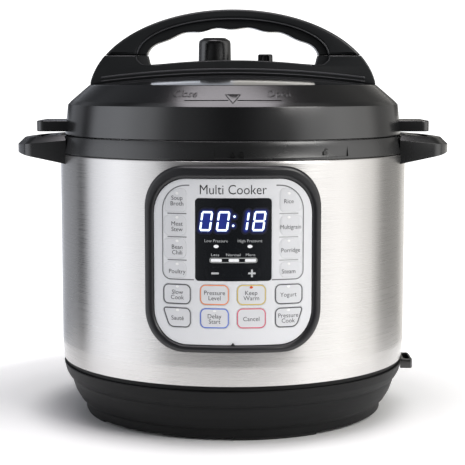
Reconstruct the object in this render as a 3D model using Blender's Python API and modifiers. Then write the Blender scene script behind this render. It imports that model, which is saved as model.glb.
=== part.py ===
"""Electric pressure cooker of about six litres, as an assembly of separate pieces.

Lengths are written in millimetres and scaled by MM. The pot's vertical axis is the parent empty
pot_axis; front is -Y, the object stands on z = 0 and is centred on the origin by its outer box.
"""

import math

import bmesh
import bpy
from mathutils import Matrix, Vector

MM = 0.001

# Driving dimensions, in millimetres from the pot's axis and from the table
WIDTH = 340.0
FACE_R = 144.5
COLLECTOR_REACH = 165.5
SHELL_R = 136.1
SHELL_WALL = 0.9
SHELL_BOTTOM = 44.0
SHELL_TOP = 204.8
FOOT_TOP = 1.5
PLINTH_R = 118.0
BASE_TOP_R = 135.2
BASE_TOP = 40.0
COLLAR_TOP = 218.3
POT_R = 110.0
POT_WALL = 1.0
POT_BOTTOM = 60.0
POT_RIM = 217.0
POT_RIM_R = 120.0
LID_EDGE_R = 132.6
LID_BOTTOM = 218.6
CROWN_R = 113.0
CROWN_TOP = 265.5
CROWN_DROP = 8.0
HANDLE_BASE_TOP = 276.7
HANDLE_HALF = 112.5
HANDLE_RISE = 66.0
HANDLE_BASE_LEVEL = 250.0
HANDLE_SEAM = 280.7
KNOB_X = -14.9
FLOAT_X = 26.7
VALVE_Y = 45.0
GAP = 0.3

AXIS_Y = (FACE_R - COLLECTOR_REACH) / 2
SEGMENTS = 36
SMALL_SEGMENTS = 24
STEP_DEG = 360 / SEGMENTS

# Curved control panel, as arc lengths at FACE_R across and heights above the table
BEZEL_HALF, BEZEL_LOW, BEZEL_HIGH, BEZEL_CORNER = 65.8, 69.6, 201.8, 29.0
POCKET_HALF, POCKET_LOW, POCKET_HIGH, POCKET_CORNER = 58.2, 75.4, 192.9, 22.0
BEZEL_BACK_R = 136.9
POCKET_FLOOR_R = 139.9
OVERLAY_R = (140.9, 142.6)
KEY_R = (140.8, 142.9)
KEY_CORNER = 4.0
DISPLAY = (0.3, 27.3, 121.1, 179.3)
SIDE_COLUMN, SIDE_KEY_HALF = 41.9, 8.4
SIDE_ROWS = ((169.5, 186.8), (153.0, 167.1), (136.7, 150.6), (123.1, 134.3))
SIDE_NAMES = (("soup", "meat", "bean", "poultry"), ("rice", "multigrain", "porridge", "steam"))
LOWER_COLUMNS = (-40.5, -13.2, 13.2, 40.5)
LOWER_KEY_HALF = 10.5
LOWER_ROWS = ((104.0, 118.7), (87.4, 102.0))
LOWER_NAMES = (
    ("slow_cook", "pressure_level", "keep_warm", "yogurt"),
    ("saute", "delay_start", "cancel", "pressure_cook"),
)
SIGN_KEY = (13.1, 7.0, 122.6, 130.6)

LUG_COUNT = 6
LUG_SPAN = 26.0
SCREW_CIRCLE = 111.5
SCREW_AZIMUTHS = (61, 151, 241)


def clear_scene():
    for obj in list(bpy.data.objects):
        bpy.data.objects.remove(obj, do_unlink=True)


def new_collection(name):
    collection = bpy.data.collections.new(name)
    bpy.context.scene.collection.children.link(collection)
    return collection


clear_scene()
COOKER = new_collection("electric_pressure_cooker")
CUTTERS = new_collection("cutters")


def finish_of(name, colour, roughness, metallic=0.0, alpha=1.0):
    material = bpy.data.materials.new(name)
    material.use_nodes = True
    shader = material.node_tree.nodes["Principled BSDF"]
    shader.inputs["Base Color"].default_value = (*colour, 1.0)
    shader.inputs["Roughness"].default_value = roughness
    shader.inputs["Metallic"].default_value = metallic
    shader.inputs["Alpha"].default_value = alpha
    return material


BLACK_SATIN = finish_of("black_satin_plastic", (0.012, 0.012, 0.014), 0.38)
BLACK_GLOSS = finish_of("black_gloss_plastic", (0.014, 0.014, 0.017), 0.2)
BRUSHED_STEEL = finish_of("brushed_steel", (0.62, 0.6, 0.58), 0.28, 1.0)
POLISHED_STEEL = finish_of("polished_steel", (0.68, 0.67, 0.66), 0.15, 1.0)
ALUMINIUM = finish_of("cast_aluminium", (0.55, 0.55, 0.56), 0.5, 1.0)
OVERLAY_GREY = finish_of("light_grey_film", (0.66, 0.69, 0.74), 0.4)
KEY_GREY = finish_of("key_film", (0.7, 0.73, 0.78), 0.4)
DISPLAY_BLACK = finish_of("display_lens", (0.01, 0.01, 0.013), 0.12)
SILICONE = finish_of("clear_silicone", (0.75, 0.75, 0.73), 0.55)
CLEAR_CUP = finish_of("clear_cup", (0.85, 0.87, 0.88), 0.1, 0.0, 0.4)
CIRCUIT_GREEN = finish_of("circuit_board", (0.02, 0.16, 0.07), 0.5)
FOOT_RUBBER = finish_of("foot_rubber", (0.02, 0.02, 0.02), 0.8)


def carrier(name, parent=None):
    empty = bpy.data.objects.new(name, None)
    empty.empty_display_size = 0.02
    COOKER.objects.link(empty)
    empty.parent = parent
    return empty


ROOT = carrier("pot_axis")
ROOT.location = (0, AXIS_Y * MM, 0)
POT_LIFT = carrier("pot_lift", ROOT)
LID_LIFT = carrier("lid_lift", POT_LIFT)
LID_TURN = carrier("lid_turn", LID_LIFT)


def add_piece(name, mesh, material, parent=None, at=(0, 0, 0)):
    piece = bpy.data.objects.new(name, mesh)
    COOKER.objects.link(piece)
    piece.parent = parent or ROOT
    piece.location = Vector(at) * MM
    mesh.materials.append(material)
    mesh.shade_smooth()
    mesh.set_sharp_from_angle(angle=math.radians(35))
    return piece


def add_cutter(name, mesh, at=(0, 0, 0), parent=None):
    cutter = bpy.data.objects.new(name, mesh)
    CUTTERS.objects.link(cutter)
    cutter.parent = parent or ROOT
    cutter.location = Vector(at) * MM
    cutter.hide_render = True
    cutter.display_type = "WIRE"
    return cutter


def combine(piece, other, operation):
    boolean = piece.modifiers.new(other.name, "BOOLEAN")
    boolean.operation = operation
    boolean.solver = "EXACT"
    boolean.object = other


def cut(piece, *cutters):
    for cutter in cutters:
        combine(piece, cutter, "DIFFERENCE")


def join(piece, *others):
    for other in others:
        combine(piece, other, "UNION")


def bevel(piece, width, segments=2, angle=40):
    rounding = piece.modifiers.new("rounded_edges", "BEVEL")
    rounding.width = width * MM
    rounding.segments = segments
    rounding.limit_method = "ANGLE"
    rounding.angle_limit = math.radians(angle)


# --- meshes -------------------------------------------------------------------------------


def profile_mesh(name, points, closed):
    """A chain of edges in the XZ plane, from (radius, height) pairs."""
    mesh = bpy.data.meshes.new(name)
    edges = [(i, i + 1) for i in range(len(points) - 1)]
    if closed:
        edges.append((len(points) - 1, 0))
    mesh.from_pydata([(r * MM, 0, z * MM) for r, z in points], edges, [])
    return mesh


def spin(piece, segments):
    screw = piece.modifiers.new("turned", "SCREW")
    screw.axis = "Z"
    screw.steps = segments
    screw.render_steps = segments
    screw.use_merge_vertices = True
    screw.merge_threshold = 1e-5
    screw.use_smooth_shade = False


def turned(name, points, material, parent=None, at=(0, 0, 0), segments=SEGMENTS, closed=True):
    """A turned piece: the profile runs down its outer side and back up the inner one."""
    piece = add_piece(name, profile_mesh(name, points, closed), material, parent, at)
    spin(piece, segments)
    return piece


def turned_cutter(name, points, at=(0, 0, 0), segments=SMALL_SEGMENTS, parent=None):
    cutter = add_cutter(name, profile_mesh(name, points, False), at, parent)
    spin(cutter, segments)
    return cutter


def rod(radius, low, high):
    """The profile of a plain cylinder."""
    return [(0, high), (radius, high), (radius, low), (0, low)]


def plate_mesh(name, outlines, low, high):
    """A flat plate between two heights, from an outline and the outlines of its holes."""
    curve = bpy.data.curves.new(name, "CURVE")
    curve.dimensions = "2D"
    curve.fill_mode = "BOTH"
    curve.extrude = (high - low) / 2 * MM
    for outline in outlines:
        spline = curve.splines.new("POLY")
        spline.points.add(len(outline) - 1)
        for point, (x, y) in zip(spline.points, outline):
            point.co = (x * MM, y * MM, 0, 1)
        spline.use_cyclic_u = True
    guide = bpy.data.objects.new(name + "_guide", curve)
    CUTTERS.objects.link(guide)
    graph = bpy.context.evaluated_depsgraph_get()
    mesh = bpy.data.meshes.new_from_object(guide.evaluated_get(graph))
    bpy.data.objects.remove(guide, do_unlink=True)
    bpy.data.curves.remove(curve)
    mesh.transform(Matrix.Translation((0, 0, (low + high) / 2 * MM)))
    tidy_mesh(mesh)
    return mesh


def tidy_mesh(mesh):
    """Welds the caps to the sides and turns every face outwards."""
    form = bmesh.new()
    form.from_mesh(mesh)
    bmesh.ops.remove_doubles(form, verts=form.verts, dist=1e-6)
    face_outwards(form)
    form.to_mesh(mesh)
    form.free()


def face_outwards(form):
    bmesh.ops.recalc_face_normals(form, faces=form.faces)
    if form.calc_volume(signed=True) < 0:
        bmesh.ops.reverse_faces(form, faces=form.faces)


def upright_mesh(name, outlines, half_depth):
    """A plate standing in the XZ plane, from -half_depth to half_depth along Y."""
    mesh = plate_mesh(name, outlines, -half_depth, half_depth)
    mesh.transform(Matrix.Rotation(math.pi / 2, 4, "X"))
    return mesh


def carved_mesh(name, body, tool):
    """The body's mesh with the tool's mesh cut out of it."""
    block = bpy.data.objects.new(name + "_block", body)
    CUTTERS.objects.link(block)
    block.parent = ROOT
    cut(block, add_cutter(name + "_tool", tool))
    graph = bpy.context.evaluated_depsgraph_get()
    mesh = bpy.data.meshes.new_from_object(block.evaluated_get(graph))
    bpy.data.objects.remove(bpy.data.objects[name + "_tool"], do_unlink=True)
    bpy.data.objects.remove(block, do_unlink=True)
    return mesh


def wrapped_mesh(name, outlines, inner_r, outer_r):
    """A plate bent round the pot's axis: across is an arc length at FACE_R, up is a height."""
    return wrap(plate_mesh(name, outlines, inner_r, outer_r))


def wrap(mesh):
    """Bends a flat mesh, whose third coordinate is a radius, round the pot's axis."""
    form = bmesh.new()
    form.from_mesh(mesh)
    facet = FACE_R * math.radians(STEP_DEG) * MM
    for step in range(-3, 4):
        everything = form.verts[:] + form.edges[:] + form.faces[:]
        bmesh.ops.bisect_plane(
            form, geom=everything, dist=1e-7, plane_co=(step * facet, 0, 0), plane_no=(1, 0, 0)
        )
    for vert in form.verts:
        across, up, radius = vert.co
        angle = across / (FACE_R * MM)
        vert.co = (radius * math.sin(angle), -radius * math.cos(angle), up)
    face_outwards(form)
    form.to_mesh(mesh)
    form.free()
    return mesh


def box_mesh(name, low, high):
    mesh = bpy.data.meshes.new(name)
    form = bmesh.new()
    bmesh.ops.create_cube(form, size=1.0)
    size = Vector(high) - Vector(low)
    middle = (Vector(high) + Vector(low)) / 2
    for vert in form.verts:
        vert.co = (Vector(a * b for a, b in zip(vert.co, size)) + middle) * MM
    form.to_mesh(mesh)
    form.free()
    return mesh


# --- outlines -----------------------------------------------------------------------------


def arc(centre, radius, start_deg, end_deg, steps):
    """Points of an arc, both ends included."""
    points = []
    for i in range(steps + 1):
        angle = math.radians(start_deg + (end_deg - start_deg) * i / steps)
        points.append((centre[0] + radius * math.cos(angle), centre[1] + radius * math.sin(angle)))
    return points


def rounded_rectangle(low, high, radius, steps):
    """A rectangle from corner low to corner high with rounded corners, anticlockwise."""
    left, right = low[0] + radius, high[0] - radius
    bottom, top = low[1] + radius, high[1] - radius
    return (
        arc((right, bottom), radius, -90, 0, steps)
        + arc((right, top), radius, 0, 90, steps)
        + arc((left, top), radius, 90, 180, steps)
        + arc((left, bottom), radius, 180, 270, steps)
    )


def sector(inner_r, outer_r, middle_deg, span_deg, steps):
    """An arc-shaped pad seen from above."""
    start, end = middle_deg - span_deg / 2, middle_deg + span_deg / 2
    return arc((0, 0), outer_r, start, end, steps) + arc((0, 0), inner_r, end, start, steps)


def crown_height(x):
    """Height of the lid's domed top at distance x from the axis."""
    return CROWN_TOP - CROWN_DROP * (x / CROWN_R) ** 2


# --- base ---------------------------------------------------------------------------------


def make_feet():
    for number, azimuth in enumerate((-74, 16, 106, 196), start=1):
        pad = plate_mesh("foot", [sector(104, 117, azimuth, 32, 6)], 0, FOOT_TOP)
        add_piece(f"foot_{number}", pad, FOOT_RUBBER)


def screw_places():
    """Where the screws hold the bottom cover to the base housing."""
    places = []
    for azimuth in SCREW_AZIMUTHS:
        angle = math.radians(azimuth)
        places.append((SCREW_CIRCLE * math.cos(angle), SCREW_CIRCLE * math.sin(angle), 0))
    return places


def make_base_housing():
    outer = [
        (133.4, 52.0),
        (133.4, BASE_TOP + 0.4),
        (BASE_TOP_R, BASE_TOP),
        (133.6, 33.5),
        (130.0, 27.4),
        (128.9, 26.9),
        (126.3, 18.0),
        (122.5, 11.5),
        (PLINTH_R, 8.3),
        (PLINTH_R, FOOT_TOP + GAP),
    ]
    inner = [
        (115.6, FOOT_TOP + GAP),
        (115.6, 4.2),
        (107.0, 4.2),
        (107.0, 7.0),
        (116.0, 7.0),
        (126.0, 26.0),
        (130.8, 38.0),
        (130.8, 52.0),
    ]
    housing = turned("base_housing", outer + inner, BLACK_SATIN)
    cut(housing, add_cutter("inlet_hole", box_mesh("inlet_hole", (-17.3, 104, 13.7), (17.3, 140, 34.3))))
    for number, at in enumerate(screw_places(), start=1):
        cut(housing, turned_cutter(f"screw_seat_{number}", rod(1.8, 3.0, 6.3), at, 12))
    return housing


def make_bottom_cover():
    cover = turned("bottom_cover", rod(115.2, FOOT_TOP + GAP, 3.8), BLACK_SATIN, closed=False)
    for number, at in enumerate(screw_places(), start=1):
        cut(cover, turned_cutter(f"screw_hole_{number}", rod(1.8, 0.0, 5.0), at, 12))
    for number, (x, y) in enumerate(((-74, 20), (-15, 20), (-15, 68), (-74, 68)), start=1):
        join(cover, turned_cutter(f"board_post_{number}", rod(3.0, 3.0, 15.7), (x, y, 0), 12))
    for number in range(6):
        x = -50 + 20 * number
        slot = plate_mesh("vent", [rounded_rectangle((x - 3, -80), (x + 3, -35), 3, 2)], 0, 6)
        cut(cover, add_cutter(f"vent_{number + 1}", slot))
    return cover


def make_bottom_screws():
    for number, at in enumerate(screw_places(), start=1):
        profile = [(0, 6.0), (1.5, 6.0), (1.5, 1.5), (3.2, 1.5), (3.2, 0.4), (0, 0.4)]
        turned(f"bottom_screw_{number}", profile, POLISHED_STEEL, None, at, 12, False)


def make_steel_shell():
    inner_r = SHELL_R - SHELL_WALL
    profile = [
        (134.3, SHELL_TOP),
        (135.8, SHELL_TOP - 0.6),
        (SHELL_R, SHELL_TOP - 2.2),
        (SHELL_R, 58.0),
        (135.2, SHELL_BOTTOM),
        (134.3, SHELL_BOTTOM),
        (inner_r, 58.0),
        (inner_r, SHELL_TOP - 2.6),
        (134.3, SHELL_TOP - 1.2),
    ]
    shell = turned("steel_shell", profile, BRUSHED_STEEL)
    window = upright_mesh("window", [rounded_rectangle((-55.6, 73.5), (55.6, 197.5), 23, 4)], 30)
    window.transform(Matrix.Translation((0, -140 * MM, 0)))
    cut(shell, add_cutter("panel_window", window))
    return shell


def make_collar():
    profile = [
        (134.0, COLLAR_TOP),
        (136.0, SHELL_TOP + GAP),
        (133.6, SHELL_TOP + GAP),
        (133.6, 198.0),
        (131.6, 198.0),
        (131.6, 203.0),
        (114.4, 203.0),
        (114.4, 205.0),
        (129.0, 205.0),
        (129.0, 214.0),
        (130.5, COLLAR_TOP),
    ]
    collar = turned("collar", profile, BLACK_SATIN)
    ledge = box_mesh("collector_ledge", (-40, 128.6, 205.4), (40, 160, 211))
    join(collar, add_cutter("collector_ledge", ledge))
    for side, name in ((-1, "left"), (1, "right")):
        post = sorted((side * 38.6, side * 40.0))
        lip = sorted((side * 34.8, side * 39.4))
        wall = box_mesh("rail_wall", (post[0], 139, 197.6), (post[1], 160, 205.8))
        foot = box_mesh("rail_lip", (lip[0], 139.2, 197.4), (lip[1], 159.8, 199.2))
        join(collar, add_cutter(f"rail_wall_{name}", wall), add_cutter(f"rail_lip_{name}", foot))
    return collar


def handle_level(x, root, tip):
    """Linear taper of the side handle from its root at the collar to its tip."""
    share = (x - SHELL_R) / (WIDTH / 2 - SHELL_R)
    return root + (tip - root) * share


def lofted_mesh(name, rings):
    """A closed mesh through rings of (x, y, z) points, each with the same count, capped at both ends."""
    form = bmesh.new()
    rows = [[form.verts.new((x * MM, y * MM, z * MM)) for x, y, z in ring] for ring in rings]
    count = len(rows[0])
    for lower, upper in zip(rows, rows[1:]):
        for i in range(count):
            after = (i + 1) % count
            form.faces.new((lower[i], lower[after], upper[after], upper[i]))
    form.faces.new(rows[0])
    form.faces.new(rows[-1])
    face_outwards(form)
    mesh = bpy.data.meshes.new(name)
    form.to_mesh(mesh)
    form.free()
    return mesh


def make_base_handle(side, name):
    root_r = SHELL_R + 0.7
    tip = WIDTH / 2
    root_deg = math.degrees(math.asin(46.0 / root_r))
    root = arc((0, 0), root_r, root_deg, -root_deg, 5)
    end = arc((152.2, -31.5), 10, -79, -28, 3)
    end += arc((tip - 77, 0), 77, -22, 22, 4)
    end += arc((152.2, 31.5), 10, 28, 79, 3)
    outline = root + end
    top = [(math.sqrt(root_r**2 - (0.9 * y) ** 2), 0.9 * y) for x, y in root]
    top += [(x - 5.5 * (x - 128.8) / (tip - 128.8), 0.9 * y) for x, y in end]
    rings = [
        [(side * x, y, handle_level(x, 199.0, 205.7)) for x, y in outline],
        [(side * x, y, handle_level(x, 214.6, 211.4)) for x, y in outline],
        [(side * x, y, handle_level(x, 219.0, 216.3)) for x, y in top],
    ]
    handle = add_piece(name, lofted_mesh(name, rings), BLACK_SATIN)
    bevel(handle, 1.0, 1, 30)
    slot_x = sorted((side * 146.0, side * 156.0))
    slot = plate_mesh("slot", [rounded_rectangle((slot_x[0], -30), (slot_x[1], 30), 3, 2)], 208, 222)
    cut(handle, add_cutter(name + "_slot", slot))
    return handle


def make_spoon_socket():
    outline = arc((0, 0), BASE_TOP_R + 0.5, 6, -6, 3)
    outline += [(142.5, -14.2), (143.5, -13.2), (143.5, 13.2), (142.5, 14.2)]
    mesh = plate_mesh("spoon_holder_socket", [outline], 32.0, 39.4)
    for vert in mesh.vertices:
        if vert.co.x < 0.137 and vert.co.z < 0.033:
            vert.co.x -= 2.0 * MM
    socket = add_piece("spoon_holder_socket", mesh, BLACK_SATIN)
    slot = plate_mesh("slot", [rounded_rectangle((137.2, -11), (142.0, 11), 1.5, 1)], 33.6, 42)
    cut(socket, add_cutter("spoon_slot", slot))
    return socket


def make_outer_pot():
    wall_r, top = 113.5, 215.5
    profile = [
        (119.5, top),
        (119.5, 213.0),
        (wall_r, 213.0),
        (wall_r, 50.0),
        (30.0, 50.0),
        (30.0, 51.2),
        (wall_r - 1.2, 51.2),
        (wall_r - 1.2, top),
    ]
    pot = turned("outer_pot", profile, POLISHED_STEEL)
    for number in range(LUG_COUNT):
        lug = sector(118.4, 124.0, 30 + 60 * number, LUG_SPAN, 3)
        join(pot, add_cutter(f"base_lug_{number + 1}", plate_mesh("lug", [lug], 210.0, top - 0.1)))
    return pot


def make_heater():
    profile = [(80, 59.7), (80, 54.0), (62, 51.6), (13, 51.6), (13, 59.7)]
    plate = turned("heating_plate", profile, ALUMINIUM)
    for side, name in ((-1, "front"), (1, "rear")):
        stud = turned_cutter(f"terminal_{name}", rod(2.0, 40.0, 53.0), (0, side * 22, 0), 10)
        join(plate, stud)
    return plate


def make_sensor():
    profile = [(0, 59.6), (10.5, 59.6), (10.5, 57.4), (3.8, 57.0), (3.8, 42.0), (0, 42.0)]
    turned("temperature_sensor", profile, ALUMINIUM, segments=SMALL_SEGMENTS, closed=False)
    bridge = [(-38, 49.6), (-30, 49.6), (-24, 46), (24, 46), (30, 49.6), (38, 49.6)]
    underside = [(38, 48.1), (30.7, 48.1), (24.7, 44.5), (-24.7, 44.5), (-30.7, 48.1), (-38, 48.1)]
    bracket = add_piece(
        "sensor_bracket", upright_mesh("sensor_bracket", [bridge + underside], 8), POLISHED_STEEL
    )
    cut(bracket, turned_cutter("stem_hole", rod(4.4, 40, 50), segments=16))


def make_sensor_spring():
    turns, points_per_turn = 4, 10
    low, high, radius, wire = 47.0, 56.4, 6.4, 0.55
    curve = bpy.data.curves.new("sensor_spring", "CURVE")
    curve.dimensions = "3D"
    curve.bevel_depth = wire * MM
    curve.bevel_resolution = 1
    curve.use_fill_caps = True
    spline = curve.splines.new("POLY")
    count = turns * points_per_turn
    spline.points.add(count)
    for i, point in enumerate(spline.points):
        angle = 2 * math.pi * i / points_per_turn
        height = low + (high - low) * i / count
        point.co = (radius * math.cos(angle) * MM, radius * math.sin(angle) * MM, height * MM, 1)
    spring = bpy.data.objects.new("sensor_spring", curve)
    COOKER.objects.link(spring)
    spring.parent = ROOT
    curve.materials.append(POLISHED_STEEL)


def make_boards():
    board = box_mesh("power_board", (-80, 15, 16.0), (-10, 75, 17.6))
    power = add_piece("power_board", board, CIRCUIT_GREEN)
    join(power, add_cutter("transformer", box_mesh("transformer", (-72, 24, 17.4), (-48, 46, 34))))
    join(power, add_cutter("relay", box_mesh("relay", (-38, 22, 17.4), (-20, 36, 32))))
    join(power, turned_cutter("capacitor", rod(6.5, 17.4, 36), (-30, 58, 0), 12))
    control = box_mesh("control_board", (-52, -125.9, 92), (52, -124.3, 180))
    add_piece("control_board", control, CIRCUIT_GREEN)
    module = box_mesh("display_module", (-25, -138.2, 133), (25, -126.2, 177))
    add_piece("display_module", module, DISPLAY_BLACK)


def make_power_inlet():
    inlet = add_piece("power_inlet", box_mesh("power_inlet", (-17, 106, 14), (17, 129.5, 34)), BLACK_SATIN)
    bevel(inlet, 1.0, 1, 50)
    recess = plate_mesh("recess", [rounded_rectangle((-12.2, 16), (12.2, 32), 3.0, 2)], -150, -114)
    recess.transform(Matrix.Rotation(math.pi / 2, 4, "X"))
    cut(inlet, add_cutter("inlet_recess", recess))
    for number, (x, z) in enumerate(((-7, 22), (0, 26), (7, 22)), start=1):
        blade = box_mesh("blade", (x - 1, 113, z - 2), (x + 1, 122, z + 2))
        join(inlet, add_cutter(f"blade_{number}", blade))
    return inlet


# --- control panel ------------------------------------------------------------------------


def grown(low, high, radius, steps, by=0.0):
    """A rounded rectangle enlarged all round."""
    return rounded_rectangle(
        (low[0] - by, low[1] - by), (high[0] + by, high[1] + by), radius + by, steps
    )


def key_frames():
    """Name, low corner and high corner of each key on the grey film."""
    frames = []
    for side, names in zip((-1, 1), SIDE_NAMES):
        for name, (low, high) in zip(names, SIDE_ROWS):
            middle = side * SIDE_COLUMN
            frames.append((name, (middle - SIDE_KEY_HALF, low), (middle + SIDE_KEY_HALF, high)))
    for names, (low, high) in zip(LOWER_NAMES, LOWER_ROWS):
        for name, middle in zip(names, LOWER_COLUMNS):
            frames.append((name, (middle - LOWER_KEY_HALF, low), (middle + LOWER_KEY_HALF, high)))
    return frames


def sign_frames():
    """The minus and plus keys, which sit in the display lens."""
    across, half, low, high = SIGN_KEY
    return [
        (name, (middle - half, low), (middle + half, high))
        for name, middle in (("minus", -across), ("plus", across))
    ]


def add_key(name, low, high, material):
    """A key with its origin at its middle, on the line it is pressed along."""
    radius = (KEY_R[0] + KEY_R[1]) / 2
    angle = (low[0] + high[0]) / 2 / FACE_R
    middle = (radius * math.sin(angle), -radius * math.cos(angle), (low[1] + high[1]) / 2)
    mesh = wrapped_mesh(name, [rounded_rectangle(low, high, KEY_CORNER, 1)], *KEY_R)
    mesh.transform(Matrix.Translation(-Vector(middle) * MM))
    add_piece(f"key_{name}", mesh, material, at=middle)


def make_panel():
    outer = rounded_rectangle((-BEZEL_HALF, BEZEL_LOW), (BEZEL_HALF, BEZEL_HIGH), BEZEL_CORNER, 6)
    mouth = rounded_rectangle((-55.5, POCKET_LOW + 2.7), (55.5, POCKET_HIGH - 2.7), 19, 4)
    pocket_low, pocket_high = (-POCKET_HALF, POCKET_LOW), (POCKET_HALF, POCKET_HIGH)
    pocket = [rounded_rectangle(pocket_low, pocket_high, POCKET_CORNER, 6)]
    frame = plate_mesh("panel_bezel", [outer, mouth], BEZEL_BACK_R, FACE_R)
    frame = carved_mesh("panel_bezel", frame, plate_mesh("pocket", pocket, POCKET_FLOOR_R, 152))
    add_piece("panel_bezel", wrap(frame), BLACK_SATIN)

    centre, half, low, high = DISPLAY
    lens_low, lens_high = (centre - half, low), (centre + half, high)
    holes = [grown(lens_low, lens_high, 1.8, 1, GAP)]
    holes += [grown(key_low, key_high, KEY_CORNER, 1, GAP) for _, key_low, key_high in key_frames()]
    film = grown(pocket_low, pocket_high, POCKET_CORNER, 6, -GAP)
    overlay = wrapped_mesh("panel_overlay", [film] + holes, *OVERLAY_R)
    add_piece("panel_overlay", overlay, OVERLAY_GREY)

    lens = [rounded_rectangle(lens_low, lens_high, 1.8, 1)]
    lens += [grown(key_low, key_high, KEY_CORNER, 1, GAP) for _, key_low, key_high in sign_frames()]
    add_piece("display_window", wrapped_mesh("display_window", lens, *OVERLAY_R), DISPLAY_BLACK)

    for name, key_low, key_high in key_frames():
        add_key(name, key_low, key_high, KEY_GREY)
    for name, key_low, key_high in sign_frames():
        add_key(name, key_low, key_high, DISPLAY_BLACK)


# --- condensation collector ---------------------------------------------------------------


def cup_outline(half, near_r, far_y, corner):
    near_deg = math.degrees(math.asin(half / near_r))
    outline = arc((0, 0), near_r, 90 - near_deg, 90 + near_deg, 6)
    outline += arc((-half + corner, far_y - corner), corner, 180, 90, 3)
    outline += arc((half - corner, far_y - corner), corner, 90, 0, 3)
    return outline


def make_collector():
    cup = plate_mesh("cup", [cup_outline(33.8, 138.6, COLLECTOR_REACH, 9)], 148, 203.2)
    collector = add_piece("condensation_collector", cup, CLEAR_CUP)
    flange = plate_mesh("flange", [cup_outline(38.0, 141.0, 163.0, 3)], 200.0, 202.2)
    join(collector, add_cutter("cup_flange", flange))
    hollow = plate_mesh("hollow", [cup_outline(31.9, 140.5, COLLECTOR_REACH - 1.9, 7.1)], 150, 210)
    cut(collector, add_cutter("cup_hollow", hollow))


# --- inner pot ----------------------------------------------------------------------------


def make_inner_pot():
    outer_r = POT_R + POT_WALL
    inner = [(0, POT_BOTTOM + POT_WALL), (104.6, POT_BOTTOM + POT_WALL), (POT_R, 66.4)]
    rim = [(POT_R, POT_RIM), (POT_RIM_R, POT_RIM), (POT_RIM_R, POT_RIM - POT_WALL)]
    outer = [(outer_r, POT_RIM - POT_WALL), (outer_r, 66.0), (105.0, POT_BOTTOM), (0, POT_BOTTOM)]
    turned("inner_pot", inner + rim + outer, BRUSHED_STEEL, POT_LIFT, closed=False)


# --- lid ----------------------------------------------------------------------------------


def make_lid_cover():
    crown = [(rho, crown_height(rho)) for rho in (0, 35, 65, 92, CROWN_R)]
    outer = crown + [(117.2, 254.5), (124.4, 248.0), (127.6, 245.0), (130.2, 241.5)]
    outer.append((LID_EDGE_R, LID_BOTTOM))
    inner = [(130.1, LID_BOTTOM), (127.6, 240.5), (123.0, 245.5), (112.0, 254.6)]
    inner += [(rho, crown_height(rho) - 2.6) for rho in (85, 45, 0)]
    cover = turned("lid_cover", outer + inner, BLACK_GLOSS, LID_TURN, closed=False)
    for side, name in ((-1, "left"), (1, "right")):
        fin = [(128.4, -28.5)] + arc((147, -22.5), 6, -90, 0, 3) + arc((147, 22.5), 6, 0, 90, 3)
        fin = [(side * x, y) for x, y in fin + [(128.4, 28.5)]]
        mesh = plate_mesh("fin", [fin], 221.6, 229.7)
        join(cover, add_cutter(f"lid_fin_{name}", mesh, parent=LID_TURN))
    boss = turned_cutter("float_boss", rod(6.0, 260.0, 282.8), (FLOAT_X, VALVE_Y, 0), 20, LID_TURN)
    join(cover, boss)
    float_bore = turned_cutter("float_bore", rod(4.1, 250, 290), (FLOAT_X, VALVE_Y, 0), 16, LID_TURN)
    pipe_hole = turned_cutter("pipe_hole", rod(7.0, 250, 290), (KNOB_X, VALVE_Y, 0), 16, LID_TURN)
    cut(cover, float_bore, pipe_hole)
    for side, name in ((-1, "left"), (1, "right")):
        hole = turned_cutter(f"cover_screw_hole_{name}", rod(2.3, 250, 274), (side * 92, 0, 0), 12, LID_TURN)
        cut(cover, hole)
    return cover


def handle_arch(half, rise, level, low, steps):
    """The part of an ellipse above a height, from its left end over the top to its right."""
    start = math.degrees(math.asin((low - level) / rise))
    points = []
    for i in range(steps + 1):
        angle = math.radians(180 - start - (180 - 2 * start) * i / steps)
        points.append((half * math.cos(angle), level + rise * math.sin(angle)))
    return points


def grip_line(steps):
    """Underside of the grip, right to left: an arch with shallow finger scallops."""
    half, rise, level, pitch = 67.3, 21.0, HANDLE_SEAM, 25.5
    points = []
    for i in range(steps + 1):
        x = half * math.cos(math.pi * i / steps)
        arch = max(0.0, 1 - (x / half) ** 2) ** 0.6
        wave = math.cos(2 * math.pi * x / pitch)
        points.append((x, level + rise * arch - 0.8 * wave * min(1.0, 4 * arch)))
    return points


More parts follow.
